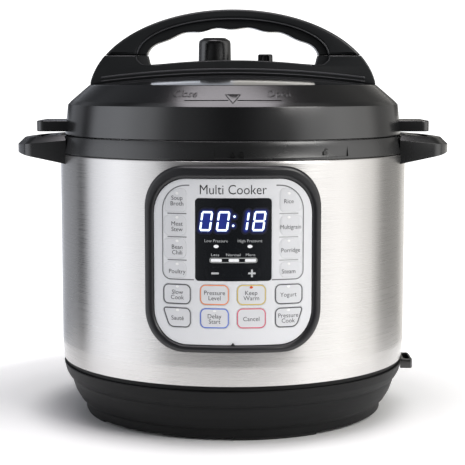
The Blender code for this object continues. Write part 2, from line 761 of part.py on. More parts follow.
def make_lid_handle():
    low_end = 111.4
    steps = 10
    bottom = [low_end * (2 * i / steps - 1) for i in range(steps + 1)]
    outline = [(x, crown_height(x) + 0.5) for x in bottom]
    flank = handle_arch(HANDLE_HALF, HANDLE_RISE, HANDLE_BASE_LEVEL, 259.5, 40)
    rise = [point for point in flank if point[1] < HANDLE_SEAM - GAP and point[0] > 0]
    outline += [(x, z) for x, z in reversed(rise)]
    outline += [(99.6, HANDLE_SEAM - GAP), (67.3, HANDLE_SEAM - GAP), (64.0, 273.0)]
    outline += [(x, HANDLE_BASE_TOP - 12.0 * (x / CROWN_R) ** 2) for x in (48, 32, 16, 0, -16, -32, -48)]
    outline += [(-64.0, 273.0), (-67.3, HANDLE_SEAM - GAP), (-99.6, HANDLE_SEAM - GAP)]
    outline += [(-x, z) for x, z in rise]
    base = add_piece(
        "lid_handle_base", upright_mesh("lid_handle_base", [outline], 16.5), BLACK_SATIN, LID_TURN
    )
    bevel(base, 1.2, 1, 50)
    for side, name in ((-1, "left"), (1, "right")):
        hole = turned_cutter(f"handle_screw_hole_{name}", rod(2.3, 255, 274), (side * 92, 0, 0), 12, LID_TURN)
        cut(base, hole)

    arch = handle_arch(HANDLE_HALF, HANDLE_RISE, HANDLE_BASE_LEVEL, HANDLE_SEAM, 22)
    arch += list(reversed(handle_arch(75.0, 28.9, 280.0, HANDLE_SEAM, 16)))
    cover = upright_mesh("lid_handle_cover", [arch], 15.0)
    bevel(add_piece("lid_handle_cover", cover, BLACK_SATIN, LID_TURN), 1.6, 2, 50)

    grip = handle_arch(74.7, 28.6, 280.0, HANDLE_SEAM, 16) + grip_line(40)
    grip_mesh = upright_mesh("lid_handle_grip", [grip], 11.0)
    add_piece("lid_handle_grip", grip_mesh, BLACK_SATIN, LID_TURN)


def make_handle_screws():
    profile = [(0, 272.5), (2.0, 272.5), (2.0, 256.2), (4.0, 256.2), (4.0, 253.8), (0, 253.8)]
    for side, name in ((-1, "left"), (1, "right")):
        at = (side * 92, 0, 0)
        turned(f"handle_screw_{name}", profile, POLISHED_STEEL, LID_TURN, at, 12, False)


def make_valves():
    knob_at = (KNOB_X, VALVE_Y, 0)
    knob = [(0, 295.7), (8.6, 295.7), (12.8, 292.8), (13.6, 265.6)]
    knob += [(11.8, 265.6), (11.8, 281.0), (4.6, 281.0), (4.6, 289.0), (0, 289.0)]
    turned("steam_release_knob", knob, BLACK_SATIN, LID_TURN, knob_at, SMALL_SEGMENTS, False)
    pipe = [(4.2, 288.4), (4.2, 243.0), (7.5, 243.0), (7.5, 240.6), (4.2, 240.6), (4.2, 229.0)]
    pipe += [(2.6, 229.0), (2.6, 288.4)]
    turned("steam_release_pipe", pipe, POLISHED_STEEL, LID_TURN, knob_at, 16)
    shield = [(0, 222.5), (11.0, 222.5), (11.0, 237.5), (12.0, 237.5), (12.0, 221.5), (0, 221.5)]
    turned("anti_block_shield", shield, POLISHED_STEEL, LID_TURN, knob_at, SMALL_SEGMENTS, False)

    float_at = (FLOAT_X, VALVE_Y, 0)
    valve = [(0, 280.4), (2.8, 280.4), (3.6, 279.4), (3.6, 242.0), (5.4, 242.0), (5.4, 240.6)]
    valve += [(3.6, 240.6), (3.6, 228.7), (5.2, 228.7), (5.2, 227.2), (0, 227.2)]
    turned("float_valve", valve, ALUMINIUM, LID_TURN, float_at, 16, False)
    cap = [(7.5, 232.4), (7.5, 229.0), (3.9, 229.0), (3.9, 232.4)]
    turned("float_valve_seal", cap, SILICONE, LID_TURN, float_at, 16)


def make_inner_lid():
    outer = [(0, 241.2), (60, 239.5), (100, 232.2), (105, 230.8), (122, 230.8)]
    outer += [(127.2, 227.0), (127.2, 206.0)]
    inner = [(125.7, 206.0), (125.7, 226.4), (121.4, 229.5), (105, 229.5), (99, 231.0), (60, 238.0)]
    lid = turned("inner_lid", outer + inner + [(0, 239.7)], POLISHED_STEEL, LID_TURN, closed=False)
    for number in range(LUG_COUNT):
        mesh = plate_mesh("lug", [sector(121.2, 126.4, 30 + 60 * number, LUG_SPAN, 3)], 206.1, 209.0)
        join(lid, add_cutter(f"lid_lug_{number + 1}", mesh, parent=LID_TURN))
    holes = ((KNOB_X, 4.7, "pipe_seat"), (FLOAT_X, 4.1, "float_seat"))
    for x, radius, name in holes:
        cut(lid, turned_cutter(name, rod(radius, 225, 250), (x, VALVE_Y, 0), 16, LID_TURN))
    rack = [(105.4, 229.2), (105.4, 218.4), (103.4, 218.4), (103.4, 229.2)]
    turned("sealing_ring_rack", rack, POLISHED_STEEL, LID_TURN)


def make_sealing_ring():
    profile = [(121.0, 228.9), (121.0, 219.0), (119.2, 217.3), (107.8, 217.3), (106.0, 219.0)]
    turned("sealing_ring", profile + [(106.0, 228.9)], SILICONE, LID_LIFT)


make_feet()
make_base_housing()
make_bottom_cover()
make_bottom_screws()
make_steel_shell()
make_collar()
make_base_handle(-1, "base_handle_left")
make_base_handle(1, "base_handle_right")
make_spoon_socket()
make_outer_pot()
make_heater()
make_sensor()
make_sensor_spring()
make_boards()
make_power_inlet()
make_panel()
make_collector()
make_inner_pot()
make_lid_cover()
make_lid_handle()
make_handle_screws()
make_valves()
make_inner_lid()
make_sealing_ring()
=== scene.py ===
"""Looks of the electric pressure cooker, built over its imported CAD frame.

Lengths are in millimetres from the pot's axis and from the table; place() scales them to metres.
Front is -Y. Flat meshes for the control panel are made as (across, up, radius) and then wrapped.
"""

import math

import bmesh
import bpy
from mathutils import Matrix, Vector


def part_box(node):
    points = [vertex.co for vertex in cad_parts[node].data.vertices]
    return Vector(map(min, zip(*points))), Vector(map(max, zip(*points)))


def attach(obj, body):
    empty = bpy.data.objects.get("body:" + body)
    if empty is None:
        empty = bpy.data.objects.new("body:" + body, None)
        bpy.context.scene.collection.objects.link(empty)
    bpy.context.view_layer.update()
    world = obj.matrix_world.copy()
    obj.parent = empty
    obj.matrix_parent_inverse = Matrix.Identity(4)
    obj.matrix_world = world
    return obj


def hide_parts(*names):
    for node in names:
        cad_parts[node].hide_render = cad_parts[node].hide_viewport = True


MM = 0.001

# Round shapes: the panel's face, steps round a full turn, and the width of the panel's facets.
FACE_R = 144.5
SEGMENTS = 192
PANEL_STEP = 3.0

# Over the side handles' tips.
WIDTH_HALF = 170.0

# The lid: its dome, the slope below it, the handle's seam, the knob and the float valve.
CROWN_R, CROWN_TOP, CROWN_DROP = 113.0, 265.5, 8.0
SHOULDER_TOP, SHOULDER_RUN, SHOULDER_FALL = (113.4, 257.2), 14.2, 12.2
LID_WALL = 2.6
SEAM = 280.7
KNOB_AT, FLOAT_AT = (-14.9, 45), (26.7, 45)

# The panel: the bezel's opening, the slant of the digits, and their glow, level by level outwards.
POCKET = ((-58.2, 75.4), (58.2, 192.9))
LEAN = 0.14
GLOW = (0.006, 0.016, 0.17)
GLOW_LEVELS = (1.0, 0.62, 0.36, 0.19, 0.09, 0.035)
GLOW_REACH = (0.25, 0.65, 1.05, 1.5, 2.0, 2.6)

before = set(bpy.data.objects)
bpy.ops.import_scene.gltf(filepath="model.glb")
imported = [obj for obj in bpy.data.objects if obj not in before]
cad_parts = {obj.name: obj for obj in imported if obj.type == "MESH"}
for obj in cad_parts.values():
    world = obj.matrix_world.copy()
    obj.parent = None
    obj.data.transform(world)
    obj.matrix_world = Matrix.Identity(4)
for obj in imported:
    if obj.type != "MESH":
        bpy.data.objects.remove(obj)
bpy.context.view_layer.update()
pot_low, pot_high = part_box("outer_pot")
AXIS = Vector(((pot_low.x + pot_high.x) / 2, (pot_low.y + pot_high.y) / 2, 0))


# --- materials ---


def shader_of(name):
    material = bpy.data.materials.new(name)
    material.use_nodes = True
    return material, material.node_tree, material.node_tree.nodes["Principled BSDF"]


def fed(node, **values):
    """The node with its inputs, named with _ for a space, linked to an output or set to a value."""
    for name, value in values.items():
        socket = node.inputs[name.replace("_", " ")]
        if isinstance(value, bpy.types.NodeSocket):
            node.id_data.links.new(value, socket)
        else:
            socket.default_value = value
    return node


def added(tree, kind, settings=None, **values):
    """A new shader node with its settings made and its inputs fed."""
    node = tree.nodes.new("ShaderNode" + kind)
    for name, value in (settings or {}).items():
        setattr(node, name, value)
    return fed(node, **values)


def coordinates(tree, kind="Object"):
    return added(tree, "TexCoord").outputs[kind]


def maths(tree, operation, first, second):
    node = added(tree, "Math", {"operation": operation})
    tree.links.new(first, node.inputs[0])
    if isinstance(second, float):
        node.inputs[1].default_value = second
    else:
        tree.links.new(second, node.inputs[1])
    return node.outputs["Value"]


def mixed(tree, share, first, second, blend="MIX"):
    """The first colour where the share is 0, both blended where it is 1."""
    settings = {"data_type": "RGBA", "blend_type": blend}
    return added(tree, "Mix", settings, Factor=share, A=first, B=second).outputs["Result"]


def remapped(tree, value, low, high, to_low=0.0, to_high=1.0):
    """The value with the span from low to high stretched to another span."""
    spans = {"From_Min": low, "From_Max": high, "To_Min": to_low, "To_Max": to_high}
    return added(tree, "MapRange", Value=value, **spans).outputs["Result"]


def noise(tree, scale, detail=2.0, stretch=(1, 1, 1), roughness=0.5):
    """Noise in the piece's own space, its vector stretched along each axis."""
    vector = added(tree, "Mapping", Vector=coordinates(tree), Scale=stretch).outputs["Vector"]
    grain = {"Scale": scale, "Detail": detail, "Roughness": roughness}
    return added(tree, "TexNoise", Vector=vector, **grain).outputs["Fac"]


def ranged(tree, value, low, high):
    """The noise's usual span of 0.3 to 0.7 mapped to low and high."""
    return remapped(tree, value, 0.3, 0.7, low, high)


def tinted(tree, value, colour, spread):
    """The colour made darker and lighter by the share spread, as the value goes."""
    dark = (*[c * (1 - spread) for c in colour], 1)
    light = (*[min(1.0, c * (1 + spread)) for c in colour], 1)
    return mixed(tree, ranged(tree, value, 0, 1), dark, light)


def raised(tree, value, depth):
    """The normal of a surface that stands up to depth in millimetres where the value is high."""
    return added(tree, "Bump", Distance=depth * MM, Strength=1.0, Height=value).outputs["Normal"]


def plastic(name, colour, roughness, grain=0.02, grain_mm=0.7, spread=0.15, wear=0.04, **sockets):
    """Moulded plastic: fine grain in relief, roughness and tone drifting slowly over the surface."""
    material, tree, shader = shader_of(name)
    slow = noise(tree, 22.0, 3.0)
    rough = ranged(tree, slow, roughness - wear, roughness + wear)
    normal = raised(tree, noise(tree, 1000 / grain_mm), grain)
    fed(shader, Base_Color=tinted(tree, slow, colour, spread), Roughness=rough, Normal=normal, **sockets)
    return material


def printing_ink(name, colour):
    return plastic(name, colour, 0.5, 0.002, 0.5)


def brushed(name, colour, roughness, stretch, lines, aniso=0.0, depth=0.01):
    """Brushed or spun metal: lines drawn out across the stretch's large axis."""
    material, tree, shader = shader_of(name)
    fine = noise(tree, lines, 3.0, stretch, 0.6)
    scratched = ranged(tree, fine, roughness - 0.05, roughness + 0.05)
    rough = maths(tree, "ADD", scratched, ranged(tree, noise(tree, 14.0), -0.02, 0.02))
    fed(shader, Base_Color=tinted(tree, fine, colour, 0.035), Roughness=rough, Metallic=1.0)
    fed(shader, Normal=raised(tree, fine, depth))
    if aniso:
        tangent = added(tree, "Tangent", {"direction_type": "RADIAL", "axis": "Z"}).outputs["Tangent"]
        fed(shader, Tangent=tangent, Anisotropic=aniso, Anisotropic_Rotation=0.25)
    return material


def glowing(name, colour, strength, spread=0.1):
    """A lit area: light from behind a diffusing film, a little uneven."""
    material, tree, shader = shader_of(name)
    slow = noise(tree, 300.0, 1.0)
    film = tinted(tree, slow, [c * 0.4 for c in colour], spread)
    light = tinted(tree, slow, colour, spread)
    fed(shader, Base_Color=film, Emission_Color=light, Emission_Strength=strength, Roughness=0.5)
    return material


def board_green():
    """Circuit board: green lacquer over a grid of copper tracks."""
    material, tree, shader = shader_of("circuit_lacquer")
    lacquer = {"Color1": (0.01, 0.12, 0.04, 1), "Color2": (0.014, 0.16, 0.055, 1)}
    copper = {"Mortar": (0.05, 0.26, 0.09, 1), "Mortar_Size": 0.03}
    tracks = added(tree, "TexBrick", Vector=coordinates(tree), Scale=160.0, **lacquer, **copper)
    rough = ranged(tree, noise(tree, 60.0), 0.28, 0.4)
    fed(shader, Base_Color=tracks.outputs["Color"], Roughness=rough)
    return material


SATIN = plastic("satin_black", (0.003, 0.0032, 0.0035), 0.28, 0.02, 0.8, Specular_IOR_Level=0.9)
BASE_SATIN = plastic("base_satin_black", (0.004, 0.0042, 0.0045), 0.48, 0.03, 0.9, Specular_IOR_Level=0.2)
GLOSS = plastic("lid_black", (0.003, 0.0032, 0.0036), 0.2, 0.006, 1.4, wear=0.02, Specular_IOR_Level=1.0)
DOME = plastic("dome_black", (0.006, 0.0064, 0.0072), 0.1, 0.001, 2.5, wear=0.015)
HANDLE = plastic("handle_black", (0.010, 0.011, 0.012), 0.34, 0.02, 0.7)
BEZEL = plastic("bezel_black", (0.012, 0.012, 0.014), 0.34, 0.01, 0.8)
# Grey painted highlight: the black handle's edges, brow lines and foot ridges are coloured grey where light
# catches them.
PAINTED_EDGE_HIGHLIGHT = plastic("painted_edge_highlight", (0.045, 0.046, 0.05), 0.35, 0.01, 0.8)
RUBBER = plastic("foot_rubber", (0.012, 0.012, 0.012), 0.8, 0.05, 0.6)
MARK = plastic("mark_black", (0.004, 0.004, 0.004), 0.3, 0.005, 0.8)
SILICONE = plastic("milky_silicone", (0.62, 0.63, 0.62), 0.45, 0.01, 1.0, 0.04)
CUP = plastic("clear_cup", (0.8, 0.84, 0.86), 0.12, 0.004, 2.0, 0.03, Transmission_Weight=0.85)
FILM = plastic("film_grey", (0.77, 0.78, 0.80), 0.42, 0.006, 0.5, 0.03)
KEY = plastic("key_grey", (0.72, 0.73, 0.75), 0.4, 0.006, 0.5, 0.03)
LENS = plastic("lens_black", (0.007, 0.008, 0.010), 0.16, 0.001, 3.0, wear=0.01)
INK = printing_ink("ink_dark", (0.05, 0.052, 0.058))
INK_SOFT = printing_ink("ink_grey", (0.16, 0.163, 0.17))
# The same grey ink made lighter: painted light, for the dividers on the side nearer the key light.
INK_GREY_PAINTED_LIT = printing_ink("ink_grey_painted_lit", (0.34, 0.345, 0.35))
INK_ORANGE = printing_ink("ink_orange", (0.80, 0.26, 0.09))
INK_YELLOW = printing_ink("ink_yellow", (0.62, 0.47, 0.10))
INK_BLUE = printing_ink("ink_blue", (0.07, 0.16, 0.62))
INK_PINK = printing_ink("ink_pink", (0.66, 0.10, 0.17))
LED_OFF = plastic("lamp_milky", (0.93, 0.93, 0.93), 0.3, 0.002, 0.5, 0.02)
PRINT_WHITE = glowing("print_white", (0.8, 0.82, 0.84), 0.25)
LED_WHITE = glowing("lamp_white", (0.95, 0.96, 1.0), 0.6)
LED_RED = glowing("lamp_red", (0.75, 0.10, 0.012), 0.5)
DIGIT = glowing("digit_light", (0.72, 0.86, 1.0), 1.9, 0.04)
GLOWS = [glowing(f"glow_{i}", [c * level for c in GLOW], 1.0) for i, level in enumerate(GLOW_LEVELS)]
BAR_GREY = plastic("bar_grey", (0.30, 0.31, 0.31), 0.4, 0.002, 0.5)
STEEL = brushed("drum_steel", (0.60, 0.588, 0.575), 0.29, (0.004, 0.004, 1), 3200.0, 0.75, 0.006)
SPUN = brushed("spun_steel", (0.66, 0.65, 0.64), 0.22, (0.02, 0.02, 1), 1200.0, 0.4, 0.006)
POLISHED = brushed("polished_steel", (0.66, 0.65, 0.645), 0.16, (1, 1, 0.05), 500.0, 0.0, 0.002)
CAST = brushed("cast_aluminium", (0.62, 0.62, 0.62), 0.42, (1, 1, 1), 900.0, 0.0, 0.03)
BOARD = board_green()


# --- shapes ---


def arc(centre, radius, start, end, steps):
    """Points of a circular arc, in degrees, both ends included."""
    points = []
    for i in range(steps + 1):
        angle = math.radians(start + (end - start) * i / steps)
        points.append((centre[0] + radius * math.cos(angle), centre[1] + radius * math.sin(angle)))
    return points


def rounded(corners, closed=True, steps=6):
    """Corners (x, y) or (x, y, radius), each one with a radius turned into an arc."""
    points = []
    last = len(corners) - 1
    for i, corner in enumerate(corners):
        at = Vector(corner[:2])
        if len(corner) == 2 or (not closed and i in (0, last)):
            points.append(tuple(at))
            continue
        before = (Vector(corners[i - 1][:2]) - at).normalized()
        after = (Vector(corners[(i + 1) % len(corners)][:2]) - at).normalized()
        half = before.angle(after) / 2
        centre = at + (before + after).normalized() * (corner[2] / math.sin(half))
        start = at + before * (corner[2] / math.tan(half)) - centre
        end = at + after * (corner[2] / math.tan(half)) - centre
        turn = math.atan2(start.x * end.y - start.y * end.x, start.dot(end))
        for step in range(steps + 1):
            spoke = Matrix.Rotation(turn * step / steps, 2) @ start
            points.append(tuple(centre + spoke))
    return points


def oval(at, half_x, half_y):
    """A small oval, anticlockwise."""
    return [(at[0] + half_x * x, at[1] + half_y * y) for x, y in arc((0, 0), 1, 0, 345, 23)]


def rectangle(low, high, radius, steps=6):
    """A rectangle with rounded corners, anticlockwise."""
    (left, bottom), (right, top) = low, high
    corners = [(left, bottom, radius), (right, bottom, radius), (right, top, radius), (left, top, radius)]
    return rounded(corners, steps=steps)


def grown(low, high, radius, by):
    return rectangle((low[0] - by, low[1] - by), (high[0] + by, high[1] + by), radius + by)


def sector(inner_r, outer_r, middle_deg, span_deg, steps=16):
    start, end = middle_deg - span_deg / 2, middle_deg + span_deg / 2
    return arc((0, 0), outer_r, start, end, steps) + arc((0, 0), inner_r, end, start, steps)


def mesh_from(bm):
    mesh = bpy.data.meshes.new("made")
    bm.to_mesh(mesh)
    bm.free()
    return mesh


def outwards(bm):
    """Faces turned out of the closed surface they make."""
    bmesh.ops.recalc_face_normals(bm, faces=bm.faces)
    if bm.calc_volume(signed=True) < 0:
        bmesh.ops.reverse_faces(bm, faces=bm.faces)


def turned(profile, closed=True, segments=SEGMENTS, at=(0, 0)):
    """Profile of (radius, height) turned round an upright line. An open one starts and ends on it."""
    bm = bmesh.new()
    verts = [bm.verts.new((r, 0, z)) for r, z in profile]
    pairs = list(zip(verts, verts[1:])) + ([(verts[-1], verts[0])] if closed else [])
    edges = [bm.edges.new(pair) for pair in pairs]
    bmesh.ops.spin(
        bm, geom=verts + edges, cent=(0, 0, 0), axis=(0, 0, 1), angle=2 * math.pi, steps=segments
    )
    bmesh.ops.remove_doubles(bm, verts=bm.verts, dist=0.002)
    outwards(bm)
    bmesh.ops.translate(bm, verts=bm.verts, vec=(at[0], at[1], 0))
    return mesh_from(bm)


def spun(profile, closed=True, steps=6, segments=SEGMENTS, at=(0, 0)):
    """A profile with rounded corners, turned round an upright line."""
    return turned(rounded(profile, closed, steps), closed, segments, at)


def mirrored(points):
    """The points' mirror image in x = 0, in the other order."""
    return [(-x, z) for x, z in reversed(points)]


def evaluated(obj):
    """The object's mesh with its modifiers applied, the object itself removed."""
    bpy.context.view_layer.update()
    graph = bpy.context.evaluated_depsgraph_get()
    mesh = bpy.data.meshes.new_from_object(obj.evaluated_get(graph))
    bpy.data.objects.remove(obj)
    return mesh


def linked(name, data):
    obj = bpy.data.objects.new(name, data)
    bpy.context.scene.collection.objects.link(obj)
    return obj


def slab(outlines, low, high, rim=0.0, steps=2):
    """A flat plate of an outline and its holes, between two heights, its rims rounded by rim."""
    curve = bpy.data.curves.new("slab", "CURVE")
    curve.dimensions = "2D"
    curve.fill_mode = "BOTH"
    curve.extrude = (high - low) / 2 - rim
    curve.bevel_depth = rim
    curve.bevel_resolution = steps
    curve.offset = -rim
    for outline in outlines:
        spline = curve.splines.new("POLY")
        spline.points.add(len(outline) - 1)
        spline.use_cyclic_u = True
        for point, (x, y) in zip(spline.points, outline):
            point.co = (x, y, 0, 1)
    return flat_mesh(curve, (low + high) / 2)


def flat_mesh(curve, height):
    """The closed mesh of a filled flat curve, lifted to a height."""
    mesh = evaluated(linked("flat", curve))
    bm = bmesh.new()
    bm.from_mesh(mesh)
    bmesh.ops.remove_doubles(bm, verts=bm.verts, dist=0.002)
    bmesh.ops.translate(bm, verts=bm.verts, vec=(0, 0, height))
    outwards(bm)
    return mesh_from(bm)


def words(text, cap, at, low, thick=0.08, width=None, shear=0.0, thin=0.0, rim=0.0):
    """A line of plain lettering centred at a point, with capitals of height cap, squeezed to a width."""
    curve = bpy.data.curves.new("words", "FONT")
    curve.body = text
    curve.size = cap / 0.72
    curve.align_x = "CENTER"
    curve.align_y = "CENTER"
    curve.shear = shear
    curve.offset = thin - rim
    curve.bevel_depth = rim
    curve.bevel_resolution = 1
    curve.resolution_u = 3
    curve.extrude = thick / 2 - rim
    mesh = flat_mesh(curve, low + thick / 2)
    across = [v.co.x for v in mesh.vertices]
    if width:
        mesh.transform(Matrix.Diagonal((width / (max(across) - min(across)), 1, 1, 1)))
    across = [v.co.x for v in mesh.vertices]
    mesh.transform(Matrix.Translation((at[0] - (max(across) + min(across)) / 2, at[1], 0)))
    return mesh


def joined(*parts):
    """Meshes put together, each (mesh, material number)."""
    bm = bmesh.new()
    for mesh, number in parts:
        known = len(bm.faces)
        bm.from_mesh(mesh)
        bm.faces.ensure_lookup_table()
        for face in bm.faces[known:]:
            face.material_index = number
    return mesh_from(bm)


def cut_across(mesh, places):
    """The mesh cut by planes across its x axis, so that it bends smoothly."""
    bm = bmesh.new()
    bm.from_mesh(mesh)
    for x in places:
        geometry = bm.verts[:] + bm.edges[:] + bm.faces[:]
        bmesh.ops.bisect_plane(bm, geom=geometry, dist=1e-4, plane_co=(x, 0, 0), plane_no=(1, 0, 0))
    return mesh_from(bm)


def bent(mesh, turn_r, surface):
    """A flat (across, up, lift) mesh bent round the pot's axis: surface(up, lift) is (radius, height)."""
    for vert in mesh.vertices:
        angle = vert.co.x / turn_r
        radius, height = surface(vert.co.y, vert.co.z)
        vert.co = (radius * math.sin(angle), -radius * math.cos(angle), height)
    return mesh


def wrapped(mesh, step=PANEL_STEP):
    """A flat (across, up, radius) mesh bent round the pot's axis, cut finely enough to look round."""
    count = int(max(abs(v.co.x) for v in mesh.vertices) / step)
    fine = cut_across(mesh, [i * step for i in range(-count, count + 1)])
    return bent(fine, FACE_R, lambda up, radius: (radius, up))


def upright(mesh, middle=0.0):
    """A flat (x, up, depth) mesh stood up, its depth centred on a plane across the front."""
    mesh.transform(Matrix.Translation((0, middle, 0)) @ Matrix.Rotation(math.pi / 2, 4, "X"))
    return mesh


def carved(mesh, cutter, operation="DIFFERENCE"):
    """The mesh with another one cut away or joined on."""
    tool = linked("cutter", cutter)
    obj = linked("carved", mesh)
    boolean = obj.modifiers.new("cut", "BOOLEAN")
    boolean.operation = operation
    boolean.solver = "EXACT"
    boolean.object = tool
    result = evaluated(obj)
    bpy.data.objects.remove(tool)
    return result


def softened(mesh, width, steps=2, angle=40):
    """Edges sharper than an angle rounded."""
    obj = linked("softened", mesh)
    bevel = obj.modifiers.new("round", "BEVEL")
    bevel.width = width
    bevel.segments = steps
    bevel.limit_method = "ANGLE"
    bevel.angle_limit = math.radians(angle)
    return evaluated(obj)


def block(low, high, rim=0.6):
    """A box between two corners, with rounded edges."""
    half = 0.49 * min(high[0] - low[0], high[1] - low[1])
    outline = rectangle(low[:2], high[:2], min(rim, half), 3)
    return slab([outline], low[2], high[2], min(rim, 0.45 * (high[2] - low[2])), 1)


def place(name, mesh, materials, body, nodes=(), crease=35):
    """A finished piece: scaled to metres on the pot's axis, shaded, and riding on its body."""
    mesh.transform(Matrix.Translation(AXIS) @ Matrix.Scale(MM, 4))
    mesh.name = name
    for material in materials if isinstance(materials, (list, tuple)) else [materials]:
        mesh.materials.append(material)
    mesh.shade_smooth()
    mesh.set_sharp_from_angle(angle=math.radians(crease))
    obj = linked(name, mesh)
    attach(obj, body)
    if nodes:
        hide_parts(*([nodes] if isinstance(nodes, str) else nodes))
    return obj


def drilled(mesh, at, radius, low, high):
    """The mesh with an upright hole through it."""
    return carved(mesh, turned([(0, low), (radius, low), (radius, high), (0, high)], False, 48, at))


def crown(x):
    """Height of the lid's dome at distance x from the axis."""
    return CROWN_TOP - CROWN_DROP * (x / CROWN_R) ** 2


# --- drum and base ---


def make_feet():
    for number, azimuth in enumerate((-74, 16, 106, 196), start=1):
        pad = slab([sector(104, 117, azimuth, 32, 24)], 0.0, 2.0, 0.5)
        place(f"foot_pad_{number}", pad, RUBBER, "base", f"foot_{number}")


def make_housing():
    outer = [(133.4, 52.0), (133.4, 40.6), (135.0, 40.3), (135.2, 39.6, 0.5), (133.6, 33.5, 6)]
    outer += [(131.6, 29.8, 3), (129.7, 27.5, 0.8), (128.7, 26.9, 0.5), (128.6, 24.5, 3), (126.3, 18.0, 8)]
    outer += [(122.5, 11.5, 3), (119.6, 8.6, 0.8), (118.0, 8.3, 0.5), (118.0, 1.9, 0.6), (115.6, 1.9)]
    inner = [(115.6, 4.4), (107.0, 4.4), (107.0, 7.0), (116.0, 7.0), (126.0, 26.0), (130.8, 38.0)]
    mesh = spun(outer + inner + [(130.8, 52.0)], True, 4)
    mouth = slab([rectangle((-17.4, 13.6), (17.4, 34.4), 2)], -150, -100)
    mesh = carved(mesh, upright(mouth))
    place("housing", mesh, BASE_SATIN, "base", "base_housing")


def make_bottom():
    holes = []
    for number in range(6):
        x = -50 + 20 * number
        holes.append(rectangle((x - 3, -80), (x + 3, -35), 2.9))
    for azimuth in (61, 151, 241):
        angle = math.radians(azimuth)
        holes.append(arc((111.5 * math.cos(angle), 111.5 * math.sin(angle)), 1.9, 0, 345, 23))
    disc = slab([arc((0, 0), 115.2, 0, 358, 179)] + holes, 1.9, 3.8, 0.4)
    post = [(0, 3.7), (3.4, 3.7), (3.0, 6.0), (3.0, 15.7), (0, 15.7)]
    posts = [(turned(post, False, 32, at), 0) for at in ((-74, 20), (-15, 20), (-15, 68), (-74, 68))]
    ribs = [(block((-60, y - 0.8, 3.7), (60, y + 0.8, 7.5), 0.3), 0) for y in (-25, 5)]
    mesh = joined((disc, 0), *posts, *ribs)
    place("bottom_plate", mesh, BASE_SATIN, "base", "bottom_cover")


def make_drum():
    profile = [(134.3, 204.8, 0.3), (135.9, 204.6, 1.0), (136.1, 202.6, 2), (136.1, 58.0, 40), (135.2, 44.0)]
    profile += [(134.4, 44.0), (135.2, 58.0, 40), (135.2, 202.0), (134.3, 203.6)]
    window = slab([rectangle((-55.6, 73.5), (55.6, 197.5), 23)], 110, 170)
    mesh = carved(spun(profile, True, 6), upright(window))
    place("drum", mesh, STEEL, "base", "steel_shell")


def collar_radius(z):
    return 136.0 - 2.0 * (z - 205.1) / 13.2


def on_collar(mesh):
    """A flat (across, up, height above the surface) mesh laid on the sloping face of the collar."""
    return bent(mesh, 135.0, lambda up, lift: (collar_radius(up) + lift, up))


def padlock(at, open_shackle):
    """Outline padlock sign: a body and a shackle."""
    x, z = at
    body = slab([rectangle((x - 1.6, z - 2.2), (x + 1.6, z + 0.3), 0.4, 2)], 0, 0.25)
    lift = 0.7 if open_shackle else 0.0
    side = 1.1 if open_shackle else 0.0
    outer = arc((x + side, z + 0.5 + lift), 1.2, 0, 180, 12)
    inner = arc((x + side, z + 0.5 + lift), 0.7, 180, 0, 12)
    left = [(x + side - 1.2, z), (x + side - 0.7, z)]
    right = [] if open_shackle else [(x + side + 0.7, z), (x + side + 1.2, z)]
    shackle = slab([outer + left + inner + right], 0, 0.25)
    return joined((body, 0), (shackle, 0))


def make_collar():
    profile = [(134.0, 218.3, 0.5), (136.0, 205.1, 0.7), (133.6, 205.1), (133.6, 198.0), (131.6, 198.0)]
    profile += [(131.6, 203.0), (114.4, 203.0), (114.4, 205.0), (129.0, 205.0, 2), (129.0, 214.0)]
    profile += [(130.5, 218.3, 0.4)]
    mesh = spun(profile, True, 3)
    recess = slab([sector(134.6, 150, -90 + 16, 43.3, 40)], 206.8, 216.6, 0.3, 1)
    mesh = carved(mesh, recess)
    ledge_outline = [(-40, 130.0), (40, 130.0), (40, 160, 4), (-40, 160, 4)]
    ledge = slab([rounded(ledge_outline)], 205.4, 211, 1.0)
    parts = [(mesh, 0), (ledge, 0)]
    for side in (-1, 1):
        wall = sorted((side * 38.6, side * 40.0))
        lip = sorted((side * 34.8, side * 40.0))
        parts.append((block((wall[0], 139, 198.3), (wall[1], 159.6, 206.4), 0.4), 0))
        parts.append((block((lip[0], 139.2, 197.4), (lip[1], 159.6, 199.2), 0.5), 0))
    arrow = slab([[(-2.1, 207.5), (2.1, 207.5), (0, 211.4)]], -0.35, 0.25)
    parts.append((on_collar(arrow), 1))
    parts.append((on_collar(padlock((6.0, 209.8), False)), 1))
    parts.append((on_collar(padlock((68.5, 210.6), True)), 1))
    place("rim_collar", joined(*parts), [SATIN, MARK], "base", "collar")


def lofted(rings):
    """A closed mesh through rings of points, each with the same count, capped at both ends."""
    bm = bmesh.new()
    rows = [[bm.verts.new(point) for point in ring] for ring in rings]
    for lower, upper in zip(rows, rows[1:]):
        for i, vert in enumerate(lower):
            after = (i + 1) % len(lower)
            bm.faces.new((vert, lower[after], upper[after], upper[i]))
    bm.faces.new(rows[0])
    bm.faces.new(rows[-1])
    outwards(bm)
    return mesh_from(bm)


def handle_level(x, root, tip):
    """Linear taper of the side handle from its root to its tip."""
    return root + (tip - root) * (x - 136.1) / (WIDTH_HALF - 136.1)


